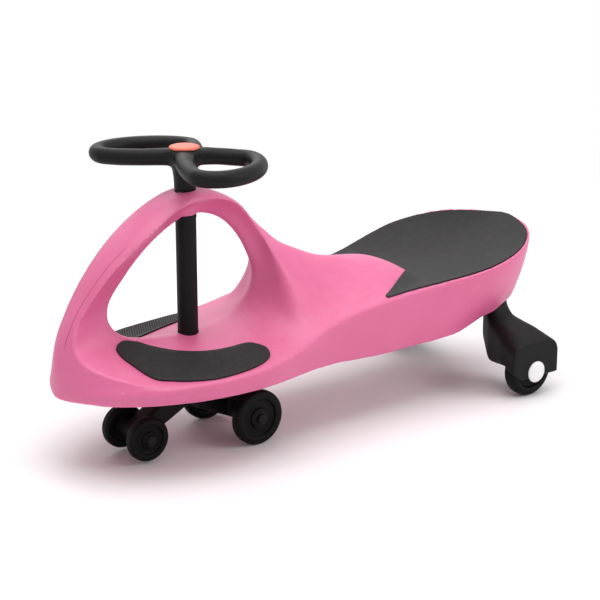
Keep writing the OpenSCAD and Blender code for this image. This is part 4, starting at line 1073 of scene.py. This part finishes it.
def makeFootMat(name, side):
    f = footLook
    flip = (1, side, 1)
    base, up = footGrid()
    mat = sheetPiece(name, (base + up * f["lift"]) * flip, (base + up * (f["lift"] + f["thick"])) * flip)
    softEdge(mat, f["edge"])
    base, up = footGrid(f["dotMargin"])
    inner = base + up * (f["lift"] + f["thick"])
    target = sheetPiece(name + "Field", (inner - (0, 0, 1)) * flip, inner * flip)
    middle = np.mean([v.co for v in target.data.vertices], 0)
    dots = makePiece(name + "Dots", [origin], [])
    step = dots.modifiers.new("raisedDots", "NODES")
    step.node_group = raisedDots
    values = {"Mat": target, "Centre": (float(middle[0]), float(middle[1]), f["dropZ"]),
              "Reach": f["fieldSize"] * mm, "Pitch": f["dotPitch"] * mm, "Dot Radius": f["dotRadius"] * mm,
              "Dot Height": f["dotHeight"] * mm, "Finish": finishes["footRubber"]}
    for label, value in values.items():
        step[treeInput(raisedDots, label)] = value
    bakeModifiers(dots)
    dropPiece(target)
    piece = finishSkin(joinShells(name, [mat, dots]), f["settle"])
    wear(piece, "footRubber")
    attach(piece, "body")
    return piece


for name, side, node in (("footMatLeft", 1, "foot_mat_left"), ("footMatRight", -1, "foot_mat_right")):
    piece = makeFootMat(name, side)
    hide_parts(node)
    print(name + ":", len(piece.data.polygons), "faces")


# The steering wheel: two swept grips that flow into the hub and down to the stem

wheelLook = {
    "gripZ": 384.5, "gripThick": 22.6, "middle": 72, "outer": 48, "half": 60, "sweep": 0.3, "taper": 0.44,
    "root": 4, "yaw": 8, "rings": 120, "sides": 24, "alongStep": 0.02, "hubWide": 44, "stemWide": 29,
    "hubTop": 398.5, "hubDrop": 20, "shoulder": 5, "stemLow": 343.3, "neck": 15, "flareOut": 0.25,
    "flareUp": 0.75, "segments": 64, "rise": 5, "rootShare": 0.9,
    "webAngles": [-72, -54, -36, -144, -126, -108], "webShare": 0.98, "skirtAngles": [-80, -100],
    "skirtShare": 0.5, "voxel": 1.7, "settle": 16, "tubeBore": 22.6, "tubeTop": 376.3, "boltBore": 8.6,
    "pocket": 20, "pocketLow": 382.3, "capWide": 39, "capSunk": 0.2, "capRoom": 2, "cutLow": 300,
    "cutHigh": 420, "footWide": 60,
}


def gripPoint(a):
    w = wheelLook
    s = np.sin(a)
    x = w["half"] * np.cos(a) * (1 + w["taper"] * np.minimum(s, 0))
    y = w["middle"] + np.where(s > 0, w["outer"], w["middle"] - w["root"]) * s
    z = w["gripZ"] + w["rise"] * np.maximum(1 - y / w["middle"], 0) ** 2
    return np.stack([x, y + w["sweep"] * x, z], -1)


def gripRings():
    w = wheelLook
    a = np.linspace(0, fullTurn, w["rings"], endpoint=False)
    tangent = gripPoint(a + w["alongStep"]) - gripPoint(a - w["alongStep"])
    n = np.cross(tangent, (0, 0, 1))
    n /= np.linalg.norm(n, axis=1, keepdims=True)
    b = np.linspace(0, fullTurn, w["sides"], endpoint=False)
    way = n[:, None] * np.cos(b)[None, :, None] + np.array((0, 0, 1.0)) * np.sin(b)[None, :, None]
    return (gripPoint(a)[:, None] + w["gripThick"] / 2 * way).reshape(-1, 3)


def makeSteeringWheel():
    w = wheelLook
    stem, hub, top, drop = w["stemWide"] / 2, w["hubWide"] / 2, w["hubTop"], w["hubDrop"]
    low = w["stemLow"] + w["neck"]
    profile = [(0, w["stemLow"]), (stem, w["stemLow"]), (stem, low),
               (mix(stem, hub, w["flareOut"]), mix(low, top - drop, w["flareUp"])),
               (hub, top - drop + w["shoulder"]), (hub, top - w["shoulder"]),
               (w["capWide"] / 2 + 1, top), (0, top)]
    shells = [lathe("hub", profile, segments=w["segments"])]
    arms = [("web", w["webShare"], angle, (top - drop, top - 1)) for angle in w["webAngles"]]
    arms += [("skirt", w["skirtShare"], angle, (low, low + w["neck"] / 2)) for angle in w["skirtAngles"]]
    for side in (1, -1):
        flip = (1, side, 1)
        faces = ringFaces(w["rings"], w["sides"])
        shells.append(makePiece("grip", turnedPoints(gripRings() * flip, w["yaw"]), faces))
        for name, share, angle, levels in arms:
            ball = ballPoints(w["gripThick"] * share, gripPoint(np.array(math.radians(angle))))
            root = discStack(w["rootShare"] * w["stemWide"], origin, levels)
            shells.append(convexPiece(name, turnedPoints(np.concatenate([ball, root]) * flip, w["yaw"])))
    wheel = joinShells("steeringWheel", shells)
    skinOver(wheel, w["voxel"], w["settle"])
    combine(wheel, [rod("tubeBore", w["tubeBore"], w["cutLow"], w["tubeTop"]),
                    rod("boltBore", w["boltBore"], w["cutLow"], w["cutHigh"]),
                    rod("pocket", w["pocket"], w["pocketLow"], w["cutHigh"]),
                    rod("capSeat", w["hubWide"] + w["capRoom"], top - w["capSunk"], w["cutHigh"]),
                    rod("foot", w["footWide"], w["cutLow"], w["stemLow"])], "DIFFERENCE")
    return finishSkin(wheel)


steeringWheel = makeSteeringWheel()
wear(steeringWheel, "gripPlastic")
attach(steeringWheel, "steering")
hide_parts("steering_wheel")
print("steering wheel:", len(steeringWheel.data.polygons), "faces")

capLook = {"wide": 39, "low": 398.5, "high": 403, "round": 2.2, "spigot": 19.4, "spigotLow": 396,
           "wallShare": 0.62, "crown": 0.40, "crownDrop": 0.5, "peak": 0.2, "peakDrop": 0.1, "segments": 96}


def makeSteeringCap():
    c = capLook
    wide, low, high, spigot = c["wide"], c["low"], c["high"], c["spigot"] / 2
    profile = [(0, c["spigotLow"]), (spigot, c["spigotLow"]), (spigot, low), (wide / 2, low),
               (wide / 2, low + (high - low) * c["wallShare"]), (wide * c["crown"], high - c["crownDrop"]),
               (wide * c["peak"], high - c["peakDrop"]), (0, high)]
    return finishSkin(lathe("steeringCap", roundCorners(profile, c["round"]), segments=c["segments"]))


steeringCap = makeSteeringCap()
wear(steeringCap, "coralPlastic")
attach(steeringCap, "steering")
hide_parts("steering_cap")


# The front truck: hub on the column, arm to the safety axle and beam on the main axle

truckLook = {
    "hubWide": 44, "hubLow": 58, "hubHigh": 100, "armWide": 30, "rootShare": 0.25, "rootDrop": 3,
    "saddleRise": 30, "saddle": 22, "saddleHalf": 44, "mainBack": 67, "mainZ": 37.5, "beam": 30,
    "beamHalf": 48.7, "safetyFront": 85.6, "safetyZ": 33.5, "boss": 22, "bossHalf": 19.7, "bore": 8.16,
    "boreHalf": 90, "tubeBore": 22.16, "tubeLow": 63, "tubeHigh": 130, "crossZ": 76.9, "crossBore": 6.16,
    "crossPocket": 11.4, "crossSeat": 19, "crossHalf": 60, "voxel": 1.5, "settle": 9,
}


def truckRoot(share):
    t = truckLook
    levels = (mix(t["hubLow"], t["hubHigh"], share), t["hubHigh"] - t["rootDrop"])
    return discStack(t["armWide"], origin, levels)


def truckSaddle(rise):
    t = truckLook
    place = (-t["mainBack"], 0, t["mainZ"] + rise)
    return discStack(t["saddle"], place, (-t["saddleHalf"], t["saddleHalf"]), "y")


def makeTruck():
    t = truckLook
    safety, main = (t["safetyFront"], 0, t["safetyZ"]), (-t["mainBack"], 0, t["mainZ"])
    cross = (0, 0, t["crossZ"])
    sides = (-t["armWide"] / 2, t["armWide"] / 2)
    top = truckSaddle(t["saddleRise"])
    shells = [rod("hub", t["hubWide"], t["hubLow"], t["hubHigh"]),
              convexPiece("arm", truckRoot(t["rootShare"]), discStack(t["boss"], safety, sides, "y")),
              convexPiece("stay", truckRoot(0), discStack(t["beam"], main, sides, "y")),
              convexPiece("saddleBack", truckSaddle(0), top),
              convexPiece("saddleTop", truckRoot(t["rootShare"]), top),
              rod("boss", t["boss"], -t["bossHalf"], t["bossHalf"], safety, "y"),
              rod("beam", t["beam"], -t["beamHalf"], t["beamHalf"], main, "y")]
    truck = joinShells("steeringTruck", shells)
    skinOver(truck, t["voxel"], t["settle"])
    combine(truck, [rod("tube", t["tubeBore"], t["tubeLow"], t["tubeHigh"]),
                    rod("safetyBore", t["bore"], -t["boreHalf"], t["boreHalf"], safety, "y"),
                    rod("mainBore", t["bore"], -t["boreHalf"], t["boreHalf"], main, "y"),
                    rod("crossBore", t["crossBore"], -t["crossHalf"], t["crossHalf"], cross, "y"),
                    rod("pocketA", t["crossPocket"], t["crossSeat"], t["crossHalf"], cross, "y"),
                    rod("pocketB", t["crossPocket"], -t["crossHalf"], -t["crossSeat"], cross, "y")],
            "DIFFERENCE")
    return finishSkin(truck)


truck = makeTruck()
wear(truck, "blackPlastic")
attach(truck, "steering")
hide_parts("steering_truck")
print("truck:", len(truck.data.polygons), "faces")


# Wheels: rounded tread, raised rim, dished face and stepped hub

rollerLook = {
    "main": {"wide": 17, "diameter": 75, "place": (-67, 60, 37.5)},
    "safety": {"wide": 15, "diameter": 59, "place": (85.6, 30, 33.5)},
    "rear": {"wide": 22, "diameter": 76, "place": (-487, 140, 38)},
    "bore": 8.16, "hubOut": 1, "hubRound": 0.25, "segments": 112, "corner": 1.6, "cornerSteps": 3,
    "settle": 2, "softAngle": 50,
    "side": [[0.30, 0.90], [0.35, 0.90], [0.38, 0.45], [0.66, 0.45], [0.70, 0.92], [0.78, 1], [0.87, 0.97],
             [0.94, 0.85], [0.985, 0.64], [1, 0.40]],
}


def makeRoller(kind, side):
    r = rollerLook
    size, n = r[kind], r["segments"]
    half = size["wide"] / 2 + r["hubOut"]
    profile = [(r["bore"] / 2, half), (r["hubRound"] * size["diameter"] / 2, half)]
    profile += [(a * size["diameter"] / 2, b * size["wide"] / 2) for a, b in r["side"]]
    profile = profile + [(a, -b) for a, b in reversed(profile)]
    profile = roundCorners(profile, r["corner"], r["cornerSteps"])
    place = np.array(size["place"], float) * (1, side, 1)
    rings = np.array([circle(a, b, "y", n) for a, b in profile]) + place
    name = kind + "Wheel" + ("Left" if side > 0 else "Right")
    roller = makePiece(name, rings.reshape(-1, 3), ringFaces(len(profile), n))
    return finishSkin(roller, r["settle"], r["softAngle"])


for kind in ("main", "safety", "rear"):
    for side, label in ((1, "left"), (-1, "right")):
        roller = makeRoller(kind, side)
        node = f"{kind}_wheel_{label}"
        wear(roller, "wheelPlastic")
        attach(roller, node)
        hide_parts(node)
print("wheels made")


# Rear housings: post into the body, arm outward and hood with two plates over the wheel

housingLook = {
    "rearBack": 487, "axleZ": 38, "postBack": 495, "postSide": 61, "postWide": 34, "postLow": 64,
    "postTop": 166, "armTop": 116, "hoodIn": 126.2, "hoodOut": 153.8, "wall": 3.4, "hoodRadius": 40.6,
    "corner": 20, "fall": 12, "plateZ": 29, "shoulderHalf": 0.58, "shoulderLow": 0.14, "shoulderRise": 17,
    "shoulderSide": 83, "shoulderLift": 13, "cornerCut": 16, "cornerRise": 12, "innerHalf": 0.86,
    "innerRise": 10, "bore": 8.16, "grip": 18, "drillOver": 5, "wellZ": -20, "segments": 96, "voxel": 1.6,
    "settle": 6, "neckRounds": 48, "neckSide": (122, 16), "neckTop": (150, 14),
}


def hoodSlice(y, top, half, low):
    h = housingLook
    corner, back, front = h["corner"], -h["rearBack"] - half, -h["rearBack"] + half
    parts = [discStack(2 * corner, (s * (half - corner) - h["rearBack"], 0, top - corner), (y, y + 1), "y")
             for s in (-1, 1)]
    parts.append(boxPoints((back, y, low), (front - h["cornerCut"], y + 1, low + 1)))
    parts.append(boxPoints((back, y, low + h["cornerRise"]), (front, y + 1, top - corner)))
    return np.concatenate(parts)


# The arm flows into the post and the hood; the plates and the rims of the hood stay crisp
def neckBlend(p):
    return falling(np.abs(p[:, 1]), *housingLook["neckSide"]) * falling(p[:, 2], *housingLook["neckTop"])


def makeHousing(name, side):
    h = housingLook
    flip = (1, side, 1)
    half = h["hoodRadius"] + h["wall"]
    top, out = h["axleZ"] + half, h["hoodOut"] + h["wall"]
    inner = hoodSlice(h["hoodIn"] - h["wall"], top + h["fall"], h["innerHalf"] * half,
                      h["plateZ"] + h["innerRise"])
    outer = hoodSlice(out - 1, top, half, h["plateZ"])
    rise, reach = h["shoulderRise"], h["shoulderSide"]
    width = half * h["shoulderHalf"] - rise / 2
    levels = (mix(h["plateZ"], top, h["shoulderLow"]) + rise / 2, top + h["shoulderLift"])
    arm = np.concatenate([discStack(rise, (s * width - h["rearBack"], 0, z), (reach, reach + 1), "y")
                          for s in (-1, 1) for z in levels])
    place = (-h["postBack"], h["postSide"], 0)
    post = discStack(h["postWide"], place, (h["postLow"], h["armTop"]))
    shells = [rod("post", h["postWide"], h["postLow"], h["postTop"], np.multiply(place, flip)),
              convexPiece("armIn", post * flip, arm * flip), convexPiece("armOut", arm * flip, inner * flip),
              convexPiece("hood", inner * flip, outer * flip)]
    housing = joinShells(name, shells)
    skinOver(housing, h["voxel"], h["settle"])
    relax(housing, h["neckRounds"], neckBlend)
    axle = (-h["rearBack"], 0, h["axleZ"])
    span = sorted((side * h["hoodIn"], side * h["hoodOut"]))
    drill = sorted((side * (h["hoodIn"] - h["grip"]), side * (out + h["drillOver"])))
    well = boxPoints((-h["rearBack"] - h["hoodRadius"], span[0], h["wellZ"]),
                     (-h["rearBack"] + h["hoodRadius"], span[1], h["axleZ"]))
    combine(housing, [rod("wheelRoom", 2 * h["hoodRadius"], *span, axle, "y", h["segments"]),
                      convexPiece("well", well), rod("axleBore", h["bore"], *drill, axle, "y")], "DIFFERENCE")
    finishSkin(housing)
    wear(housing, "blackPlastic")
    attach(housing, "body")
    return housing


axleCapLook = {"rear": {"wide": 31, "thick": 4, "y": 157.2, "place": (-487, 0, 38)},
               "main": {"wide": 15, "thick": 5, "y": 69.8, "place": (-67, 0, 37.5)},
               "safety": {"wide": 15, "thick": 5, "y": 38.8, "place": (85.6, 0, 33.5)},
               "wallShare": 0.5, "crown": 0.38, "crownRise": 0.92, "round": 1.6, "settle": 2}


def makeAxleCap(name, kind, sides):
    look, c = axleCapLook, axleCapLook[kind]
    wide, thick, y = c["wide"], c["thick"], c["y"]
    profile = [(0, y), (wide / 2, y), (wide / 2, y + thick * look["wallShare"]),
               (wide * look["crown"], y + thick * look["crownRise"]), (0, y + thick)]
    rounded = roundCorners(profile, look["round"])
    shells = [lathe("cap", [(a, side * b) for a, b in rounded], c["place"], "y") for side in sides]
    return finishSkin(joinShells(name, shells), look["settle"])


for name, side, label in (("rearHousingLeft", 1, "left"), ("rearHousingRight", -1, "right")):
    housing = makeHousing(name, side)
    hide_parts("rear_housing_" + label)
    cap = makeAxleCap("rearCap" + label.title(), "rear", [side])
    wear(cap, "whitePlastic")
    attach(cap, "body")
    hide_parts("rear_cap_" + label)
for kind in ("main", "safety"):
    caps = makeAxleCap(kind + "AxleCaps", kind, [1, -1])
    wear(caps, "blackPlastic")
    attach(caps, "steering")
    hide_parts(kind + "_axle_caps")
print("housings and caps made")


# Carried-over CAD nodes keep their shapes and get these finishes

nodeFinish = {
    "blackPlastic": ["column_sleeve", "upper_bush", "lower_bush"],
    "naturalNylon": ["column_insert", "thrust_washer", "main_spacers", "safety_spacers", "rear_spacers_left",
                     "rear_spacers_right"],
    "platedSteel": ["steering_bolt", "column_tube", "truck_bolt", "truck_nut", "main_axle", "safety_axle",
                    "rear_axle_left", "rear_axle_right"],
}
for finish, nodes in nodeFinish.items():
    for node in nodes:
        wear(frame["nodes"][node], finish)


# Floor, light and camera

stageLook = {"floorSize": 40, "floorColour": (0.93, 0.92, 0.925), "floorRough": 0.75, "floorShine": 0.15,
             "whiteFrom": 0.75, "whiteTo": 1.9, "worldLevel": 0.50, "worldColour": (1.0, 0.985, 0.99)}


def makeFloor():
    s = stageLook
    r = s["floorSize"] / 2
    mesh = bpy.data.meshes.new("floor")
    mesh.from_pydata([(-r, -r, 0), (r, -r, 0), (r, r, 0), (-r, r, 0)], [], [(0, 1, 2, 3)])
    floor = addObject("floor", mesh)
    material, tree, shader = newMaterial("paleFloor")
    plug(tree, shader, {"Base Color": (*s["floorColour"], 1), "Roughness": s["floorRough"],
                        "Specular IOR Level": s["floorShine"]})
    white = addNode(tree, "ShaderNodeEmission", {"Color": (1, 1, 1, 1), "Strength": 1.0})
    seen = addNode(tree, "ShaderNodeLightPath").outputs
    shown = calc(tree, "MAXIMUM", seen["Is Camera Ray"], seen["Is Glossy Ray"])
    shown = calc(tree, "MAXIMUM", shown, seen["Is Transmission Ray"])
    place = addNode(tree, "ShaderNodeTexCoord").outputs["Object"]
    away = addNode(tree, "ShaderNodeVectorMath", {0: place}, operation="LENGTH").outputs["Value"]
    share = times(tree, shown, spread(tree, away, s["whiteFrom"], s["whiteTo"]))
    both = addNode(tree, "ShaderNodeMixShader", {0: share, 1: shader.outputs[0], 2: white.outputs[0]})
    plug(tree, tree.nodes["Material Output"], {"Surface": both.outputs[0]})
    floor.data.materials.append(material)


def makeWorld():
    s = stageLook
    world = bpy.data.worlds.new("softRoom")
    scene.world = world
    world.use_nodes = True
    tree = world.node_tree
    seen = addNode(tree, "ShaderNodeLightPath").outputs
    shown = calc(tree, "MAXIMUM", seen["Is Camera Ray"], seen["Is Glossy Ray"])
    level = addNode(tree, "ShaderNodeMapRange", {"Value": shown, "To Min": s["worldLevel"], "To Max": 1.0})
    plug(tree, tree.nodes["Background"], {"Color": (*s["worldColour"], 1),
                                          "Strength": level.outputs["Result"]})


def aim(made, way):
    made.rotation_euler = Vector(way).to_track_quat("-Z", "Y").to_euler()


lampLook = {
    "overhead": {"place": (0.2, 0.1, 2.6), "aim": (0.0, 0.0, 0.15), "size": 2.4, "power": 53},
    "right": {"place": (-1.6, 2.2, 1.7), "aim": (-0.1, 0.0, 0.15), "size": 1.6, "power": 25},
    "back": {"place": (-0.6, -2.2, 1.9), "aim": (0.0, 0.0, 0.2), "size": 1.8, "power": 16},
}


def makeLamps():
    for name, look in lampLook.items():
        data = bpy.data.lights.new(name, "AREA")
        data.shape, data.size, data.energy = "SQUARE", look["size"], look["power"]
        lamp = addObject(name, data)
        lamp.location = look["place"]
        aim(lamp, Vector(look["aim"]) - Vector(look["place"]))


cameraLook = {"place": (1166.55, 1772.60, 850.94), "azimuth": 37.31, "down": 17.16, "focal": 1701.85,
              "image": 600, "sensor": 36}


def makeCamera():
    c = cameraLook
    data = bpy.data.cameras.new("photoView")
    data.sensor_width = c["sensor"]
    data.lens = c["focal"] * c["sensor"] / c["image"]
    camera = addObject("photoView", data)
    camera.location = toFrame(c["place"])[0]
    turn, down = math.radians(c["azimuth"]), math.radians(c["down"])
    aim(camera, (-math.sin(turn) * math.cos(down), -math.cos(turn) * math.cos(down), -math.sin(down)))
    scene.camera = camera


makeFloor()
makeWorld()
makeLamps()
makeCamera()
scene.view_settings.view_transform = "Standard"
print("stage made")
